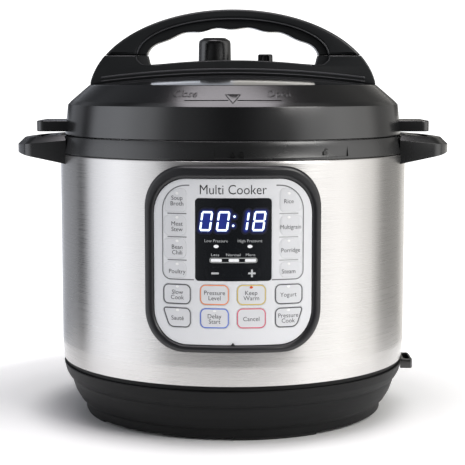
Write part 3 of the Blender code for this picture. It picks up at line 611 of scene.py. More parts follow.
def make_side_handles():
    root_r, tip = 135.6, WIDTH_HALF
    reach = math.degrees(math.asin(46.0 / root_r))
    root = arc((0, 0), root_r, reach, -reach, 14)
    end = arc((152.2, -31.5), 10, -79, -29, 8) + arc((tip - 77, 0), 77, -27, 27, 18)
    end += arc((152.2, 31.5), 10, 29, 79, 8)
    top = [(math.sqrt(root_r**2 - (0.9 * y) ** 2), 0.9 * y) for x, y in root]
    top += [(x - 5.5 * (x - 128.8) / (tip - 128.8), 0.9 * y) for x, y in end]
    rings = [
        [(x, y, handle_level(x, 199.0, 205.7)) for x, y in root + end],
        [(x, y, handle_level(x, 214.6, 211.4)) for x, y in root + end],
        [(x, y, handle_level(x, 219.0, 216.3)) for x, y in top],
    ]
    slot = slab([rectangle((146, -30), (156, 30), 2.6)], 208, 230)
    hollow = slab([rounded([(141, -36, 6), (158, -25, 8), (158, 25, 8), (141, 36, 6)])], 190, 204.8)
    for side, name in ((-1, "left"), (1, "right")):
        mesh = softened(carved(carved(lofted(rings), slot.copy()), hollow.copy()), 0.9, 3, 30)
        if side < 0:
            mesh.transform(Matrix.Rotation(math.pi, 4, "Z"))
        place(f"side_handle_{name}", mesh, SATIN, "base", f"base_handle_{name}")


def make_spoon_socket():
    outline = arc((0, 0), 134.6, 6, -6, 6) + [(142.0, -14.2), (143.5, -12.6), (143.5, 12.6), (142.0, 14.2)]
    mesh = slab([outline, rectangle((137.2, -11), (142.0, 11), 1.5)], 32.6, 39.4, 0.4)
    floor = slab([[(p[0], p[1] * 0.98) for p in outline]], 32.0, 33.6, 0.4)
    mesh = joined((mesh, 0), (floor, 0))
    place("spoon_socket", mesh, SATIN, "base", "spoon_holder_socket")


def make_inlet():
    shell = slab([rectangle((-17, 14), (17, 34), 2.4)], -129.5, -106, 0.8)
    recess = slab([rectangle((-12.2, 16), (12.2, 32), 3)], -150, -114)
    shell = upright(carved(shell, recess))
    mouth = rectangle((-12.6, 16), (12.6, 32), 3)
    frame_rim = slab([rectangle((-14.4, 14.9), (14.4, 33.1), 3.6), mouth], -130.1, -129.2, 0.3)
    blades = []
    for x, z in ((-7, 22), (0, 26), (7, 22)):
        blades.append((block((x - 0.9, 113.5, z - 2), (x + 0.9, 122, z + 2), 0.3), 1))
    mesh = joined((shell, 0), (upright(frame_rim), 0), *blades)
    place("cord_inlet", mesh, [SATIN, POLISHED], "base", "power_inlet")


# --- control panel ---

SIDE_ROWS = ((169.5, 186.8), (153.0, 167.1), (136.7, 150.6), (123.1, 134.3))
SIDE_LAMPS = (182.4, 165.6, 149.0, 132.7)
LOWER_ROWS = ((104.0, 118.7), (87.4, 102.0))
DISPLAY_LOW, DISPLAY_HIGH = (-27.0, 121.1), (27.6, 179.3)
SIGN_KEYS = (("minus", (-20.1, 122.6), (-6.1, 130.6)), ("plus", (6.1, 122.6), (20.1, 130.6)))
SIDE_KEYS = (
    (
        -1,
        ("soup", ("Soup", "Broth")),
        ("meat", ("Meat", "Stew")),
        ("bean", ("Bean", "Chili")),
        ("poultry", ("Poultry",)),
    ),
    (
        1,
        ("rice", ("Rice",)),
        ("multigrain", ("Multigrain",)),
        ("porridge", ("Porridge",)),
        ("steam", ("Steam",)),
    ),
)
SIDE_NAMES = [name for _, *column in SIDE_KEYS for name, _ in column]
LOWER_KEYS = (
    (
        ("slow_cook", ("Slow", "Cook"), INK),
        ("pressure_level", ("Pressure", "Level"), INK_ORANGE),
        ("keep_warm", ("Keep", "Warm"), INK_YELLOW),
        ("yogurt", ("Yogurt",), INK),
    ),
    (
        ("saute", ("Sauté",), INK),
        ("delay_start", ("Delay", "Start"), INK_BLUE),
        ("cancel", ("Cancel",), INK_PINK),
        ("pressure_cook", ("Pressure", "Cook"), INK),
    ),
)
LOWER_MIDDLES = (-40.5, -13.2, 13.2, 40.5)
KEY_TOP = 142.75


def make_bezel():
    outer = rectangle((-65.8, 69.6), (65.8, 201.8), 30, 16)
    pocket = rectangle(*POCKET, 25, 14)
    ring = slab([outer, pocket], 134.9, FACE_R, 3.3, 6)
    ledge = slab([grown(*POCKET, 25, 0.9), rectangle((-55.5, 78.1), (55.5, 190.2), 19)], 137.4, 139.9)
    notch = slab([[(-2.2, 74.6), (2.2, 74.6), (0, 77.4)]], 139.5, 143.4, 0.2, 1)
    mesh = joined((wrapped(ring), 0), (wrapped(ledge), 0), (wrapped(notch), 0))
    place("bezel", mesh, BEZEL, "base", "panel_bezel")


def key_outline(name, low, high):
    """Rounded rectangle; the keys at the panel's corners follow its curve with their outer corner."""
    (left, bottom), (right, top) = low, high
    radii = {"soup": (3.2, 3.2, 3, 12.4), "rice": (3.2, 3.2, 12.4, 3)}
    radii |= {"poultry": (5, 4, 4, 4), "steam": (4, 5, 4, 4)}
    if name == "soup":
        left, top = left + 0.8, top - 0.9
    if name == "rice":
        right, top = right - 0.8, top - 0.9
    if name in ("saute", "pressure_cook"):
        corners = [(left, bottom, 4.2), (right - 4.4, bottom, 5.5), (right - 0.4, top - 3, 3.4)]
        points = rounded(corners + [(right, top, 1.8), (left, top, 4.2)])
        return [(left + right - x, z) for x, z in reversed(points)] if name == "saute" else points
    spans = ((left, bottom), (right, bottom), (right, top), (left, top))
    return rounded([(*at, radius) for at, radius in zip(spans, radii.get(name, (4.2,) * 4))], steps=8)


def shrunk(outline, by):
    """The outline moved in by a distance, point by point along its local normal."""
    count = len(outline)
    points = []
    for i in range(count):
        ahead = Vector(outline[(i + 1) % count]) - Vector(outline[i - 1])
        points.append(Vector(outline[i]) + Vector((-ahead.y, ahead.x)).normalized() * by)
    return [tuple(p) for p in points]


def all_keys():
    """Name, low corner, high corner, label lines, ring ink and lamp place of each key on the film."""
    rows = []
    for side, *column in SIDE_KEYS:
        for (name, label), (low, high), lamp in zip(column, SIDE_ROWS, SIDE_LAMPS):
            middle = side * 41.9
            rows.append((name, (middle - 8.4, low), (middle + 8.4, high), label, None, (side * 40.2, lamp)))
    for row, (low, high) in zip(LOWER_KEYS, LOWER_ROWS):
        for (name, label, ink), middle in zip(row, LOWER_MIDDLES):
            lamp = (middle * 0.99, high - 2.0)
            rows.append((name, (middle - 10.5, low), (middle + 10.5, high), label, ink, lamp))
    return rows


def label_mesh(lines, at, side_key):
    """Up to two centred lines of print."""
    cap, pitch = (3.1, 3.95) if side_key else (3.15, 3.75)
    parts = []
    for i, line in enumerate(lines):
        z = at[1] + pitch * ((len(lines) - 1) / 2 - i)
        width = {"Multigrain": 15.4, "Porridge": 14.0}.get(line)
        across = 41.7 if width else at[0]
        parts.append((words(line, cap, (across, z), KEY_TOP - 0.02, 0.08, width, thin=-0.01), 1))
    return parts


def make_keys():
    for name, low, high, lines, ink, lamp in all_keys():
        outline = key_outline(name, low, high)
        parts = [(slab([outline], 140.8, KEY_TOP, 0.08 if ink is None else 0.2, 1), 0)]
        drop = 0.6 if ink else 1.0 if len(lines) == 2 else 1.4
        height = (low[1] + high[1]) / 2 - drop
        parts += label_mesh(lines, (lamp[0], height), ink is None)
        lit = name == "keep_warm"
        if name not in ("pressure_level", "cancel"):
            parts.append((slab([oval(lamp, 1.2, 0.9)], KEY_TOP - 0.1, KEY_TOP + 0.22, 0.12, 1), 2))
        if ink:
            inner = shrunk(outline, 0.95)
            parts.append((slab([shrunk(outline, 0.22), inner], KEY_TOP - 0.03, KEY_TOP + 0.06), 3))
        mesh = wrapped(joined(*parts))
        materials = [KEY, INK, LED_RED if lit else LED_OFF, ink or INK]
        place(f"key_{name}_cap", mesh, materials, f"key_{name}", f"key_{name}")
    for name, low, high in SIGN_KEYS:
        x, z = (low[0] + high[0]) / 2, (low[1] + high[1]) / 2
        x += 0.4
        bars = [rectangle((x - 2.7, z - 0.65), (x + 2.7, z + 0.65), 0.3, 2)]
        parts = [(slab([rectangle(low, high, 4)], 140.8, 142.6, 0.03, 1), 0)]
        parts.append((slab(bars, 142.55, 142.7), 1))
        if name == "plus":
            for part in ((z + 0.6, z + 2.7), (z - 2.7, z - 0.6)):
                stem = rectangle((x - 0.65, part[0]), (x + 0.65, part[1]), 0.2, 2)
                parts.append((slab([stem], 142.55, 142.7), 1))
        mesh = wrapped(joined(*parts))
        place(f"key_{name}_cap", mesh, [LENS, PRINT_WHITE], f"key_{name}", f"key_{name}")


def bracket(side):
    """The line round a column of side keys: from above the first key, down and in under the display."""
    wide = [(31, 188.6), (51.6, 188.6, 18), (51.6, 121.4, 6.5), (27.9, 121.4)]
    narrow = [(27.9, 122.2), (50.8, 122.2, 5.7), (50.8, 187.8, 17.2), (31, 187.8)]
    outline = rounded(wide, False, 12) + rounded(narrow, False, 12)
    return [(side * x, z) for x, z in outline]


def make_film():
    holes = [grown(DISPLAY_LOW, DISPLAY_HIGH, 2.6, 0.1)]
    for name, low, high, *_ in all_keys():
        outline = key_outline(name, low, high)
        holes.append(shrunk(outline, -0.06 if name in SIDE_NAMES else -0.14))
    film = rectangle((-58.0, 75.6), (58.0, 192.7), 24.8, 14)
    parts = [(slab([film] + holes, 140.9, 142.65, 0.15, 1), 0)]
    top = 142.62
    # Divider lines: the left ones in the grey ink, the right ones in its lighter copy, painted as lit from
    # the right.
    for side, ink in ((-1, 1), (1, 2)):
        parts.append((slab([bracket(side)], top, top + 0.08), 1))
        for z in (168.3, 151.8, 135.5):
            corners = ((33.2, -0.35), (47.4, -0.35), (47.4, 0.35), (33.2, 0.35))
            line = [(side * x, z + up) for x, up in corners]
            parts.append((slab([line], top, top + 0.08), ink))
    parts.append((words("Multi Cooker", 6.9, (0.3, 185.0), top, 0.08, 47.5, thin=-0.05), 3))
    mesh = wrapped(joined(*parts))
    place("panel_film", mesh, [FILM, INK_SOFT, INK_GREY_PAINTED_LIT, MARK], "base", "panel_overlay")


SEGMENT_CODES = {"0": "abcdef", "1": "bc", "8": "abcdefg"}


def digit_parts(code, left, right, low, high):
    """Seven-segment digit leaning right, as flat bars."""
    thick, gap = 1.35, 0.28
    middle = (low + high) / 2
    half = thick / 2
    rows = {"a": (high - half, gap + 0.4), "g": (middle, gap + 0.5), "d": (low + half, gap + 0.4)}
    upper = (middle + gap + 0.35, high - gap - 0.7)
    lower = (low + gap + 0.7, middle - gap - 0.35)
    columns = {"f": (left + half, *upper), "b": (right - half, *upper)}
    columns |= {"e": (left + half, *lower), "c": (right - half, *lower)}
    bars = []
    for letter in SEGMENT_CODES[code]:
        if letter in rows:
            z, inset = rows[letter]
            bar = rectangle((left + inset, z - half), (right - inset, z + half), 0.5, 3)
        else:
            x, foot, head = columns[letter]
            bar = rectangle((x - half, foot), (x + half, head), 0.5, 3)
        bars.append([(x + LEAN * (z - middle), z) for x, z in bar])
    return bars


def leaning(low, high, radius, by):
    middle = (low[1] + high[1]) / 2
    return [(x + LEAN * (z - middle), z) for x, z in grown(low, high, radius, by)]


def make_display():
    holes = [grown(low, high, 4, 0.06) for _, low, high in SIGN_KEYS]
    lens = slab([rectangle(DISPLAY_LOW, DISPLAY_HIGH, 2.5)] + holes, 140.9, 142.6, 0.03, 1)
    place("display_lens", wrapped(lens), LENS, "base", "display_window")
    low, high = 156.3, 170.3
    halo = []
    lit = []
    for code, left, right in (("0", -23.1, -14.9), ("0", -11.2, -2.7), ("1", 6.2, 11.1), ("8", 14.3, 23.0)):
        inner_left = right - 2.2 if code == "1" else left
        halo.append([leaning((inner_left, low), (right, high), 1.4, by) for by in GLOW_REACH])
        for bar in digit_parts(code, left, right, low, high):
            lit.append((slab([bar], 142.6, 142.76), 0))
    for dot in ((1.1, 166.6), (0.2, 160.2)):
        halo.append([arc(dot, 1.0 + 0.8 * by, 0, 345, 23) for by in GLOW_REACH])
        lit.append((slab([arc(dot, 0.8, 0, 345, 23)], 142.6, 142.76), 0))
    glow = []
    for outlines in halo:
        for number, outline in enumerate(outlines):
            glow.append((slab([outline], 142.5, 142.68 - number * 0.012), 4 + number))
    print_top = 142.58
    for text, x, width in (("Low Pressure", -11.9, 16.6), ("High Pressure", 12.1, 17.3)):
        lit.append((words(text, 2.1, (x, 149.4), print_top, 0.1, width, thin=-0.02), 1))
        lit.append((slab([oval((x, 145.6), 1.8, 1.15)], print_top, print_top + 0.15), 2))
    for text, x, width in (("Less", -12.6, 5.7), ("Normal", 0.3, 10.2), ("More", 12.5, 6.6)):
        lit.append((words(text, 1.9, (x, 139.6), print_top, 0.1, width, thin=-0.01), 1))
    bar = [rectangle((-16.7, 133.9), (17.4, 137.7), 1.7), rectangle((-16.0, 134.6), (16.7, 137.0), 1.0)]
    lit.append((slab(bar, print_top, print_top + 0.12), 3))
    for x0, x1 in ((-15.7, -7.9), (-3.0, 4.3), (8.6, 16.4)):
        lit.append((slab([rectangle((x0, 134.8), (x1, 136.8), 0.5, 2)], print_top, print_top + 0.12), 2))
    mesh = wrapped(joined(*glow, *lit))
    materials = [DIGIT, PRINT_WHITE, LED_WHITE, BAR_GREY, *GLOWS]
    place("display_lights", mesh, materials, "base")


# --- condensation collector ---


def cup_outline(half, near_r, far_y, corner):
    near = math.degrees(math.asin(half / near_r))
    outline = arc((0, 0), near_r, 90 - near, 90 + near, 16)
    outline += arc((-half + corner, far_y - corner), corner, 180, 90, 8)
    return outline + arc((half - corner, far_y - corner), corner, 90, 0, 8)


def make_collector():
    cup = slab([cup_outline(33.8, 138.6, 165.5, 9)], 148, 203.2, 1.4)
    flange = slab([cup_outline(38.0, 141.0, 163.0, 3)], 200.0, 202.2, 0.5)
    hollow = slab([cup_outline(31.9, 140.5, 163.6, 7.1)], 150, 210, 1.2)
    mesh = carved(carved(cup, flange, "UNION"), hollow)
    inside = rectangle((-10.8, 157.2), (10.8, 188.8), 4)
    rib = slab([rectangle((-12, 156), (12, 190), 5), inside], -165.7, -165.0, 0.2, 1)
    mesh = joined((mesh, 0), (upright(rib), 0))
    place("drip_cup", mesh, CUP, "condensation_collector", "condensation_collector")


# --- pots and heater ---


def lugs(inner_r, outer_r, low, high):
    parts = []
    for number in range(6):
        parts.append((slab([sector(inner_r, outer_r, 30 + 60 * number, 26, 16)], low, high, 0.5, 1), 0))
    return parts


def make_outer_pot():
    profile = [(119.5, 215.5, 0.5), (119.5, 213.0, 0.4), (113.5, 213.0, 1), (113.5, 50.0, 4), (30.0, 50.0)]
    profile += [(30.0, 51.2), (112.3, 51.2, 3), (112.3, 215.5, 1.5)]
    mesh = joined((spun(profile, True, 4), 0), *lugs(118.6, 124.0, 210.0, 215.4))
    place("liner", mesh, SPUN, "base", "outer_pot")


def make_heater():
    profile = [(80, 59.7, 0.8), (80, 54.0, 2), (62, 51.6, 2), (13, 51.6), (13, 59.7, 0.6)]
    profile += [(40, 59.7), (40.6, 59.3), (41.2, 59.7), (60, 59.7), (60.6, 59.3), (61.2, 59.7)]
    parts = [(spun(profile, True, 3), 0)]
    stud = [(0, 40), (2, 40, 0.3), (2, 53), (0, 53)]
    parts += [(spun(stud, False, 6, 24, (0, y)), 1) for y in (-22, 22)]
    place("heater", joined(*parts), [CAST, POLISHED], "base", "heating_plate")


def make_sensor():
    profile = [(0, 59.6), (10.5, 59.6, 0.7), (10.5, 57.4, 0.5), (3.8, 57.0), (3.8, 42.0, 0.5), (0, 42.0)]
    mesh = spun(profile, False, 4, 64)
    place("sensor_button", mesh, CAST, "temperature_sensor", "temperature_sensor")


def make_inner_pot():
    profile = [(0, 61.0), (104.6, 61.0, 7), (110.0, 66.4, 6), (110.0, 217.0, 1.8), (119.4, 217.0, 0.4)]
    profile += [(120.0, 216.4, 0.4), (119.4, 215.9, 0.3), (111.0, 216.0, 0.8), (111.0, 66.0, 6)]
    profile += [(105.0, 60.0, 7), (0, 60.0)]
    parts = [(spun(profile, False, 6), 0)]
    for z in (105, 138, 171):
        mark = slab([rectangle((-7, z - 0.35), (7, z + 0.35), 0.3, 2)], 109.75, 110.05)
        for vert in mark.vertices:
            angle, radius = vert.co.x / 110, vert.co.z
            vert.co = (radius * math.sin(angle), radius * math.cos(angle), vert.co.y)
        mark.flip_normals()
        parts.append((mark, 1))
    place("pot", joined(*parts), [SPUN, INK_SOFT], "inner_pot", "inner_pot")


# --- lid ---


def on_shoulder(mesh, radius=119.0):
    """A flat (across, down the slope from its top, height) mesh laid on the lid's shoulder, face up."""
    slope = math.atan2(SHOULDER_FALL, SHOULDER_RUN)
    across, down = math.cos(slope), math.sin(slope)
    top_r, top_z = SHOULDER_TOP

    def surface(up, lift):
        return top_r - up * across + lift * down, top_z + up * down + lift * across

    return bent(mesh, radius, surface)


def cut_fine(mesh, step):
    """The mesh cut across at even steps from its left end."""
    across = [v.co.x for v in mesh.vertices]
    low, high = min(across), max(across)
    return cut_across(mesh, [low + i * step for i in range(1, int((high - low) / step) + 1)])


def make_lid_cover():
    outer = [(0, CROWN_TOP)] + [(rho, crown(rho)) for rho in range(6, 112, 5)]
    outer += [(112.6, crown(112.6), 0.6), (113.3, 257.2, 0.5), (127.4, 245.1, 3), (130.0, 242.3, 0.8)]
    outer += [(132.6, 218.6, 0.8)]
    inner = [(130.1, 218.6), (127.6, 240.5, 4), (123.0, 245.5, 3), (112.0, 254.6, 3)]
    inner += [(rho, crown(rho) - LID_WALL) for rho in (100, 85, 70, 55, 40, 25, 10)]
    inner.append((0, CROWN_TOP - LID_WALL))
    mesh = spun(outer + inner, False, 4)
    for at, radius in ((FLOAT_AT, 4.15), (KNOB_AT, 7.0), ((-92, 0), 2.3), ((92, 0), 2.3)):
        mesh = drilled(mesh, at, radius, 250, 290)
    ring = [(4.15, 258), (4.15, 282.3, 0.4), (6.0, 282.8, 1.2), (6.4, 265.5), (8.5, 263.0), (8.5, 259)]
    well = [(14.4, 260), (14.4, 266.9, 0.3), (15.6, 266.9, 0.5), (16.6, 263), (16.6, 259)]
    parts = [(mesh, 0), (spun(ring, True, 4, 64, FLOAT_AT), 0), (spun(well, True, 3, 96, KNOB_AT), 0)]
    for side in (-1, 1):
        fin = [(128.2, -28.5), (152.6, -28.5, 6), (152.6, 28.5, 6), (128.2, 28.5)]
        mesh = slab([[(side * x, y) for x, y in rounded(fin)]], 221.6, 230.0, 0.9, 3)
        parts.append((mesh, 0))
    arrow = slab([[(-5.3, -9.7), (0, -19.2), (5.3, -9.7)]], -0.3, 0.6, 0.2, 2)
    stripe = [(-33, -16.0), (-3.0, -15.7), (-3.0, -15.1), (-26, -15.1), (-26, -13.9)]
    line = slab([stripe], -0.2, 0.4)
    line_right = slab([mirrored(stripe)], -0.2, 0.4)
    marks = [(cut_fine(arrow, 3), 0), (cut_fine(line, 4), 0), (cut_fine(line_right, 4), 0)]
    for text, x, width in (("Close", -33.9, 17.8), ("Open", 32.6, 17.2)):
        marks.append((words(text, 7.2, (x, -9.2), -0.3, 0.6, width, 0.22, 0.02, 0.12), 0))
    parts.append((on_shoulder(joined(*marks)), 0))
    shell = joined(*parts)
    for face in shell.polygons:
        face.material_index = int(face.center.z > crown(CROWN_R) - 0.4 and face.center.xy.length < 113.6)
    place("lid_shell", shell, [GLOSS, DOME], "lid", "lid_cover")


def ellipse(half, rise, level, low, steps):
    """The part of an ellipse above a height, from its left end over the top to its right."""
    start = math.degrees(math.asin((low - level) / rise))
    points = []
    for i in range(steps + 1):
        angle = math.radians(180 - start - (180 - 2 * start) * i / steps)
        points.append((half * math.cos(angle), level + rise * math.sin(angle)))
    return points


def grip_line(steps):
    """Underside of the grip, right to left: an arch with finger scallops."""
    points = []
    for i in range(steps + 1):
        x = 67.3 * math.cos(math.pi * i / steps)
        arch = max(0.0, 1 - (x / 67.3) ** 2) ** 0.6
        wave = math.cos(2 * math.pi * x / 25.5)
        points.append((x, SEAM + 21.0 * arch - 0.8 * wave * min(1.0, 4 * arch)))
    return points


def make_handle():
    low_end = 111.4
    outline = [(x, crown(x) - 0.5) for x in [low_end * (i / 20 - 1) for i in range(41)]]
    flank = [p for p in ellipse(112.5, 66, 250, 259.5, 160) if p[1] < SEAM - 0.4 and p[0] > 0]
    outline += list(reversed(flank)) + [(99.6, SEAM - 0.3)]
    sill = [(x, 276.7 - 12.0 * (x / CROWN_R) ** 2) for x in range(50, -51, -5)]
    core_end = [(90, SEAM - 0.3), (67.2, SEAM - 0.3, 0.5), (65.4, 273.2, 1.5), (50, 274.3)]
    core_end = rounded(core_end, False, 5)[1:-1]
    brow = [(74.6, SEAM - 0.3, 0.5), (75.2, 277.4, 3), (70.6, 273.2, 5), (62.0, 272.9, 3), (50, 274.3)]
    brow = rounded([(90, SEAM - 0.3)] + brow, False, 6)[1:-1]
    left = [(-x, z) for x, z in flank]
    core = outline + core_end + sill + mirrored(core_end) + [(-99.6, SEAM - 0.3)] + left
    face = outline + brow + sill + mirrored(brow) + [(-99.6, SEAM - 0.3)] + left
    parts = [(upright(slab([core], -11.5, 11.5, 0.3, 1)), 0)]
    for low, high in ((-16.5, -10.9), (10.9, 16.5)):
        parts.append((upright(slab([face], low, high, 1.1, 3)), 0))
    # Thin grey lines along the brow's edges: a painted highlight.
    rim = [(x, z) for x, z in brow if x > 56]
    for side in (-1, 1):
        line = [(side * x, z) for x, z in rim] + [(side * (x + 0.7), z - 0.45) for x, z in reversed(rim)]
        parts.append((upright(slab([line], -16.75, -16.2)), 1))
        parts.append((upright(slab([line], 16.2, 16.75)), 1))
    # Two low ridges along the handle's foot, just above the dome; their grey is a painted highlight.
    strip_x = [103.0 * (i / 30 - 1) for i in range(61)]
    for rise, thick in ((3.4, 1.6), (0.9, 0.9)):
        under = [(x, crown(x) + rise) for x in strip_x]
        highlight_strip = under + [(x, z + thick) for x, z in reversed(under)]
        for middle in (-16.5, 16.5):
            parts.append((upright(slab([highlight_strip], -0.7, 0.7, 0.4, 2), middle), 1))
    place("handle_base", joined(*parts), [HANDLE, PAINTED_EDGE_HIGHLIGHT], "lid", "lid_handle_base")

    arch = ellipse(112.5, 66, 250, SEAM + 0.1, 96)
    arch += list(reversed(ellipse(75.0, 28.9, 280.0, SEAM + 0.1, 72)))
    cover = upright(slab([arch], -15.0, 15.0, 2.0, 4))
    # A thin lip round the arch's opening; its grey is a painted highlight.
    lip = ellipse(75.4, 29.3, 280.0, SEAM + 1, 72) + ellipse(74.4, 28.3, 280.0, SEAM + 1, 72)[::-1]
    line = upright(slab([lip], -15.35, 15.35, 0.25, 1))
    mesh = joined((cover, 0), (line, 1))
    place("handle_arch", mesh, [HANDLE, PAINTED_EDGE_HIGHLIGHT], "lid", "lid_handle_cover")

    grip = ellipse(74.6, 28.5, 280.0, SEAM + 0.1, 72) + grip_line(160)
    mesh = upright(slab([grip], -11.0, 11.0, 0.9, 3))
    place("handle_grip", mesh, HANDLE, "lid", "lid_handle_grip")


def make_valves():
    knob = [(0, 295.2), (7.6, 295.2), (8.0, 295.7, 0.3), (8.9, 295.7, 0.8), (12.6, 293.4, 1.6)]
    knob += [(13.1, 291.0, 2), (13.6, 265.6, 0.6), (11.8, 265.6), (11.8, 281.0)]
    knob += [(4.6, 281.0), (4.6, 289.0), (0, 289.0)]
    x, y = KNOB_AT
    fin = block((x - 2.0, y + 11.5, 276), (x + 2.0, y + 15.6, 291.5), 0.8)
    mesh = joined((spun(knob, False, 4, 96, KNOB_AT), 0), (fin, 0))
    place("steam_knob", mesh, SATIN, "steam_release_knob", "steam_release_knob")

    pipe = [(4.2, 288.4, 0.5), (4.2, 243.0), (7.5, 243.0, 0.4), (7.5, 240.6), (4.2, 240.6)]
    pipe += [(4.2, 229.0), (2.6, 229.0), (2.6, 288.4, 0.3)]
    mesh = spun(pipe, True, 3, 48, KNOB_AT)
    place("steam_pipe", mesh, POLISHED, "lid", "steam_release_pipe")
    shield = [(0, 222.5), (11.0, 222.5, 1), (11.0, 237.5), (12.0, 237.5), (12.0, 221.5, 1.4), (0, 221.5)]
    mesh = spun(shield, False, 4, 96, KNOB_AT)
    for number in range(8):
        angle = 45 * number
        slot = block((8, -1.2, 225), (14, 1.2, 234), 0.5)
        slot.transform(Matrix.Translation((*KNOB_AT, 0)) @ Matrix.Rotation(math.radians(angle), 4, "Z"))
        mesh = carved(mesh, slot)
    place("shield_cap", mesh, POLISHED, "lid", "anti_block_shield")

    valve = [(0, 280.4), (2.8, 280.4, 0.5), (3.6, 279.4, 0.6), (3.6, 242.0), (5.4, 242.0, 0.3)]
    valve += [(5.4, 240.6), (3.6, 240.6), (3.6, 228.7), (5.2, 228.7), (5.2, 227.2, 0.5), (0, 227.2)]
    mesh = spun(valve, False, 3, 48, FLOAT_AT)
    place("float_pin", mesh, CAST, "float_valve", "float_valve")
    cap = [(7.5, 232.4, 0.8), (7.5, 229.0, 0.8), (3.9, 229.0), (3.9, 232.4, 0.4)]
    mesh = spun(cap, True, 3, 48, FLOAT_AT)
    place("float_seal", mesh, SILICONE, "float_valve", "float_valve_seal")


def make_inner_lid():
    profile = [(0, 241.2), (60, 239.5, 30), (100, 232.2, 12), (105, 230.8, 3), (122, 230.8, 4)]
    profile += [(127.2, 227.0, 2), (127.2, 206.0, 0.3), (125.7, 206.0, 0.3), (125.7, 226.4, 2)]
    profile += [(121.4, 229.5, 3), (105, 229.5, 3), (99, 231.0, 12), (60, 238.0, 30), (0, 239.7)]
    mesh = spun(profile, False, 6)
    for at, radius in ((KNOB_AT, 4.7), (FLOAT_AT, 4.1)):
        mesh = drilled(mesh, at, radius, 225, 250)
    mesh = joined((mesh, 0), *lugs(121.2, 126.2, 206.1, 209.0))
    place("inner_lid_plate", mesh, SPUN, "lid", "inner_lid")
    rack = [(105.4, 229.2), (105.4, 218.4, 0.5), (103.4, 218.4, 0.5), (103.4, 229.2)]
    place("ring_rack", spun(rack, True, 3), POLISHED, "lid", "sealing_ring_rack")


def make_sealing_ring():
    profile = [(121.0, 228.9, 0.6), (121.0, 219.0, 0.8), (119.2, 217.3, 0.6), (116.0, 217.3, 0.3)]
    profile += [(115.4, 218.2, 0.3), (111.6, 218.2, 0.3), (111.0, 217.3, 0.3), (107.8, 217.3, 0.6)]
    profile += [(106.0, 219.0, 0.8), (106.0, 228.9, 0.6)]
    mesh = spun(profile, True, 3)
    place("seal_ring", mesh, SILICONE, "lid_seal", "sealing_ring")


def dress_kept_nodes():
    """Procedural materials for the inner CAD pieces that are shown as they are."""
    looks = {"power_board": BOARD, "control_board": BOARD, "display_module": MARK}
    for name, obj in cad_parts.items():
        if obj.hide_render:
            continue
        obj.data.materials.clear()
        obj.data.materials.append(looks.get(name, POLISHED))


# --- stage ---


FLOOR_R = 330
FLOOR_TONE = (0.9, 0.9, 0.9)
# Painted light on the floor: emission strength by distance from the glow's centre, as a share of the disc's
# radius.
FLOOR_PAINTED_LIGHT = ((0.365, 0.0), (0.5, 0.33), (0.68, 0.42), (0.93, 1.0), (1.0, 1.0))


def make_stage():
    """A pale disc with painted light: its emission grows away from the cooker, so that only the shadow close
    to it shows, and more painted shade stays on the left.
    """
    floor = spun([(0, 0), (FLOOR_R, 0, 2), (FLOOR_R, -8), (0, -8)], False, 6, 128)
    floor.transform(Matrix.Translation(AXIS) @ Matrix.Scale(MM, 4))
    material, tree, shader = shader_of("pale_floor")
    slow = noise(tree, 3.0)
    painted_light_distance = added(tree, "VectorMath", {"operation": "DISTANCE"})
    # The glow's centre, 12 mm left of the axis: the painted shade reaches further on the left.
    painted_light_distance.inputs[1].default_value = (AXIS.x - 0.012, AXIS.y, 0)
    tree.links.new(coordinates(tree), painted_light_distance.inputs[0])
    lift = curve_of(tree, maths(tree, "DIVIDE", painted_light_distance.outputs["Value"], FLOOR_R * MM), FLOOR_PAINTED_LIGHT)
    rough = ranged(tree, slow, 0.45, 0.55)
    fed(shader, Base_Color=tinted(tree, slow, FLOOR_TONE, 0.01), Roughness=rough, Emission_Strength=lift)
    floor.materials.append(material)
    floor.shade_smooth()
    linked("floor", floor)


def curve_of(tree, value, stops):
    """A value looked up on a ramp of (position, level)."""
    ramp = added(tree, "ValToRGB", Fac=value)
    ramp.color_ramp.interpolation = "EASE"
    elements = ramp.color_ramp.elements
    while len(elements) < len(stops):
        elements.new(0.5)
    # All positions first: the ramp keeps its elements in their order.
    for element, (position, level) in zip(elements, stops):
        element.position = position
    for element, (position, level) in zip(elements, stops):
        element.color = (level, level, level, 1)
    return ramp.outputs["Color"]


def make_room():
    """Soft studio: bright walls to the left and right, a dim camera side, a white background."""
    world = bpy.data.worlds.new("studio")
    bpy.context.scene.world = world
    world.use_nodes = True
    tree = world.node_tree
    split = added(tree, "SeparateXYZ", Vector=coordinates(tree, "Generated")).outputs
    azimuth = maths(tree, "ARCTAN2", split["X"], maths(tree, "MULTIPLY", split["Y"], -1.0))
    share = remapped(tree, azimuth, -math.pi, math.pi)
    height = remapped(tree, split["Z"], -1.0, 1.0)
    walls = curve_of(tree, share, [at_azimuth(*stop) for stop in AROUND])
    walls = mixed(tree, 1.0, walls, curve_of(tree, height, UPWARDS), "MULTIPLY")
    shelf = curve_of(tree, height, [at_height(*stop) for stop in SHELF])
    back = mixed(tree, curve_of(tree, share, BEHIND), (1, 1, 1, 1), shelf)
    tint = mixed(tree, share, LEFT_TINT, RIGHT_TINT)
    room = mixed(tree, 1.0, walls, mixed(tree, 1.0, back, tint, "MULTIPLY"), "MULTIPLY")
    seen = added(tree, "LightPath").outputs["Is Camera Ray"]
    fed(tree.nodes["Background"], Color=mixed(tree, seen, room, BACKGROUND), Strength=2.0)


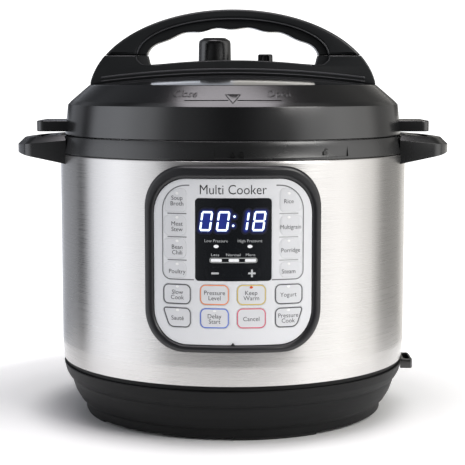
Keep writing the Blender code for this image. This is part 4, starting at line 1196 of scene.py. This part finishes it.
BACKGROUND = (0.7, 0.7, 0.7, 1)
LEFT_TINT = (0.93, 0.97, 1.07, 1)
RIGHT_TINT = (1.05, 1.02, 0.96, 1)
UPWARDS = ((0.0, 1.0), (0.62, 1.0), (0.78, 0.4), (1.0, 0.25))
BEHIND = ((0.0, 1.0), (0.08, 1.0), (0.1, 0.0), (0.9, 0.0), (0.92, 1.0))
SHELF = ((-1, 1.0), (-0.02, 1.0), (0.01, 0.1), (0.2, 0.14), (0.212, 0.9), (0.222, 0.9), (0.234, 0.3))
AROUND = (
    (-180, 0.95),
    (-166, 0.5),
    (-150, 0.22),
    (-124, 0.17),
    (-121, 0.03),
    (-116, 0.03),
    (-104, 0.62),
    (-80, 0.8),
    (-60, 0.62),
    (-38, 0.14),
    (0, 0.03),
    (34, 0.14),
    (55, 0.66),
    (75, 0.82),
    (100, 0.6),
    (118, 0.18),
    (140, 0.2),
    (158, 0.5),
    (180, 0.95),
)


def at_azimuth(azimuth, level):
    """A ramp stop: azimuth from the camera side, positive to the right, as a share of the turn."""
    return (azimuth + 180) / 360, level


def at_height(sine, level):
    """A ramp stop: sine of the elevation as a share of the whole height."""
    return (sine + 1) / 2, level


def area_light(name, at, target, size, power, colour=(1, 1, 1)):
    data = bpy.data.lights.new(name, "AREA")
    data.shape = "RECTANGLE"
    data.size, data.size_y = size
    data.energy = power
    data.color = colour
    light = linked(name, data)
    light.location = at
    light.rotation_euler = (Vector(target) - Vector(at)).to_track_quat("-Z", "Y").to_euler()


def make_lights():
    area_light("overhead_box", (-0.05, -0.25, 1.35), (-0.02, -0.03, 0.2), (0.84, 0.8), 7.5, (1.0, 0.95, 1.0))
    area_light("key_box", (0.95, -0.9, 0.95), (0, 0, 0.12), (0.7, 0.7), 11.5, (1.0, 0.985, 0.96))


def make_camera():
    data = bpy.data.cameras.new("camera")
    data.sensor_width = 36.0
    data.lens = 105.9
    camera = linked("camera", data)
    camera.location = (AXIS.x - 0.0003, AXIS.y - 1.0908, 0.2599)
    camera.rotation_euler = (math.radians(90 - 6.286), 0, 0)
    bpy.context.scene.camera = camera


make_feet()
make_housing()
make_bottom()
make_drum()
make_collar()
make_side_handles()
make_spoon_socket()
make_inlet()
make_bezel()
make_keys()
make_film()
make_display()
make_collector()
make_outer_pot()
make_heater()
make_sensor()
make_inner_pot()
make_lid_cover()
make_handle()
make_valves()
make_inner_lid()
make_sealing_ring()
dress_kept_nodes()
make_stage()
make_room()
make_lights()
make_camera()
bpy.context.scene.view_settings.view_transform = "Standard"
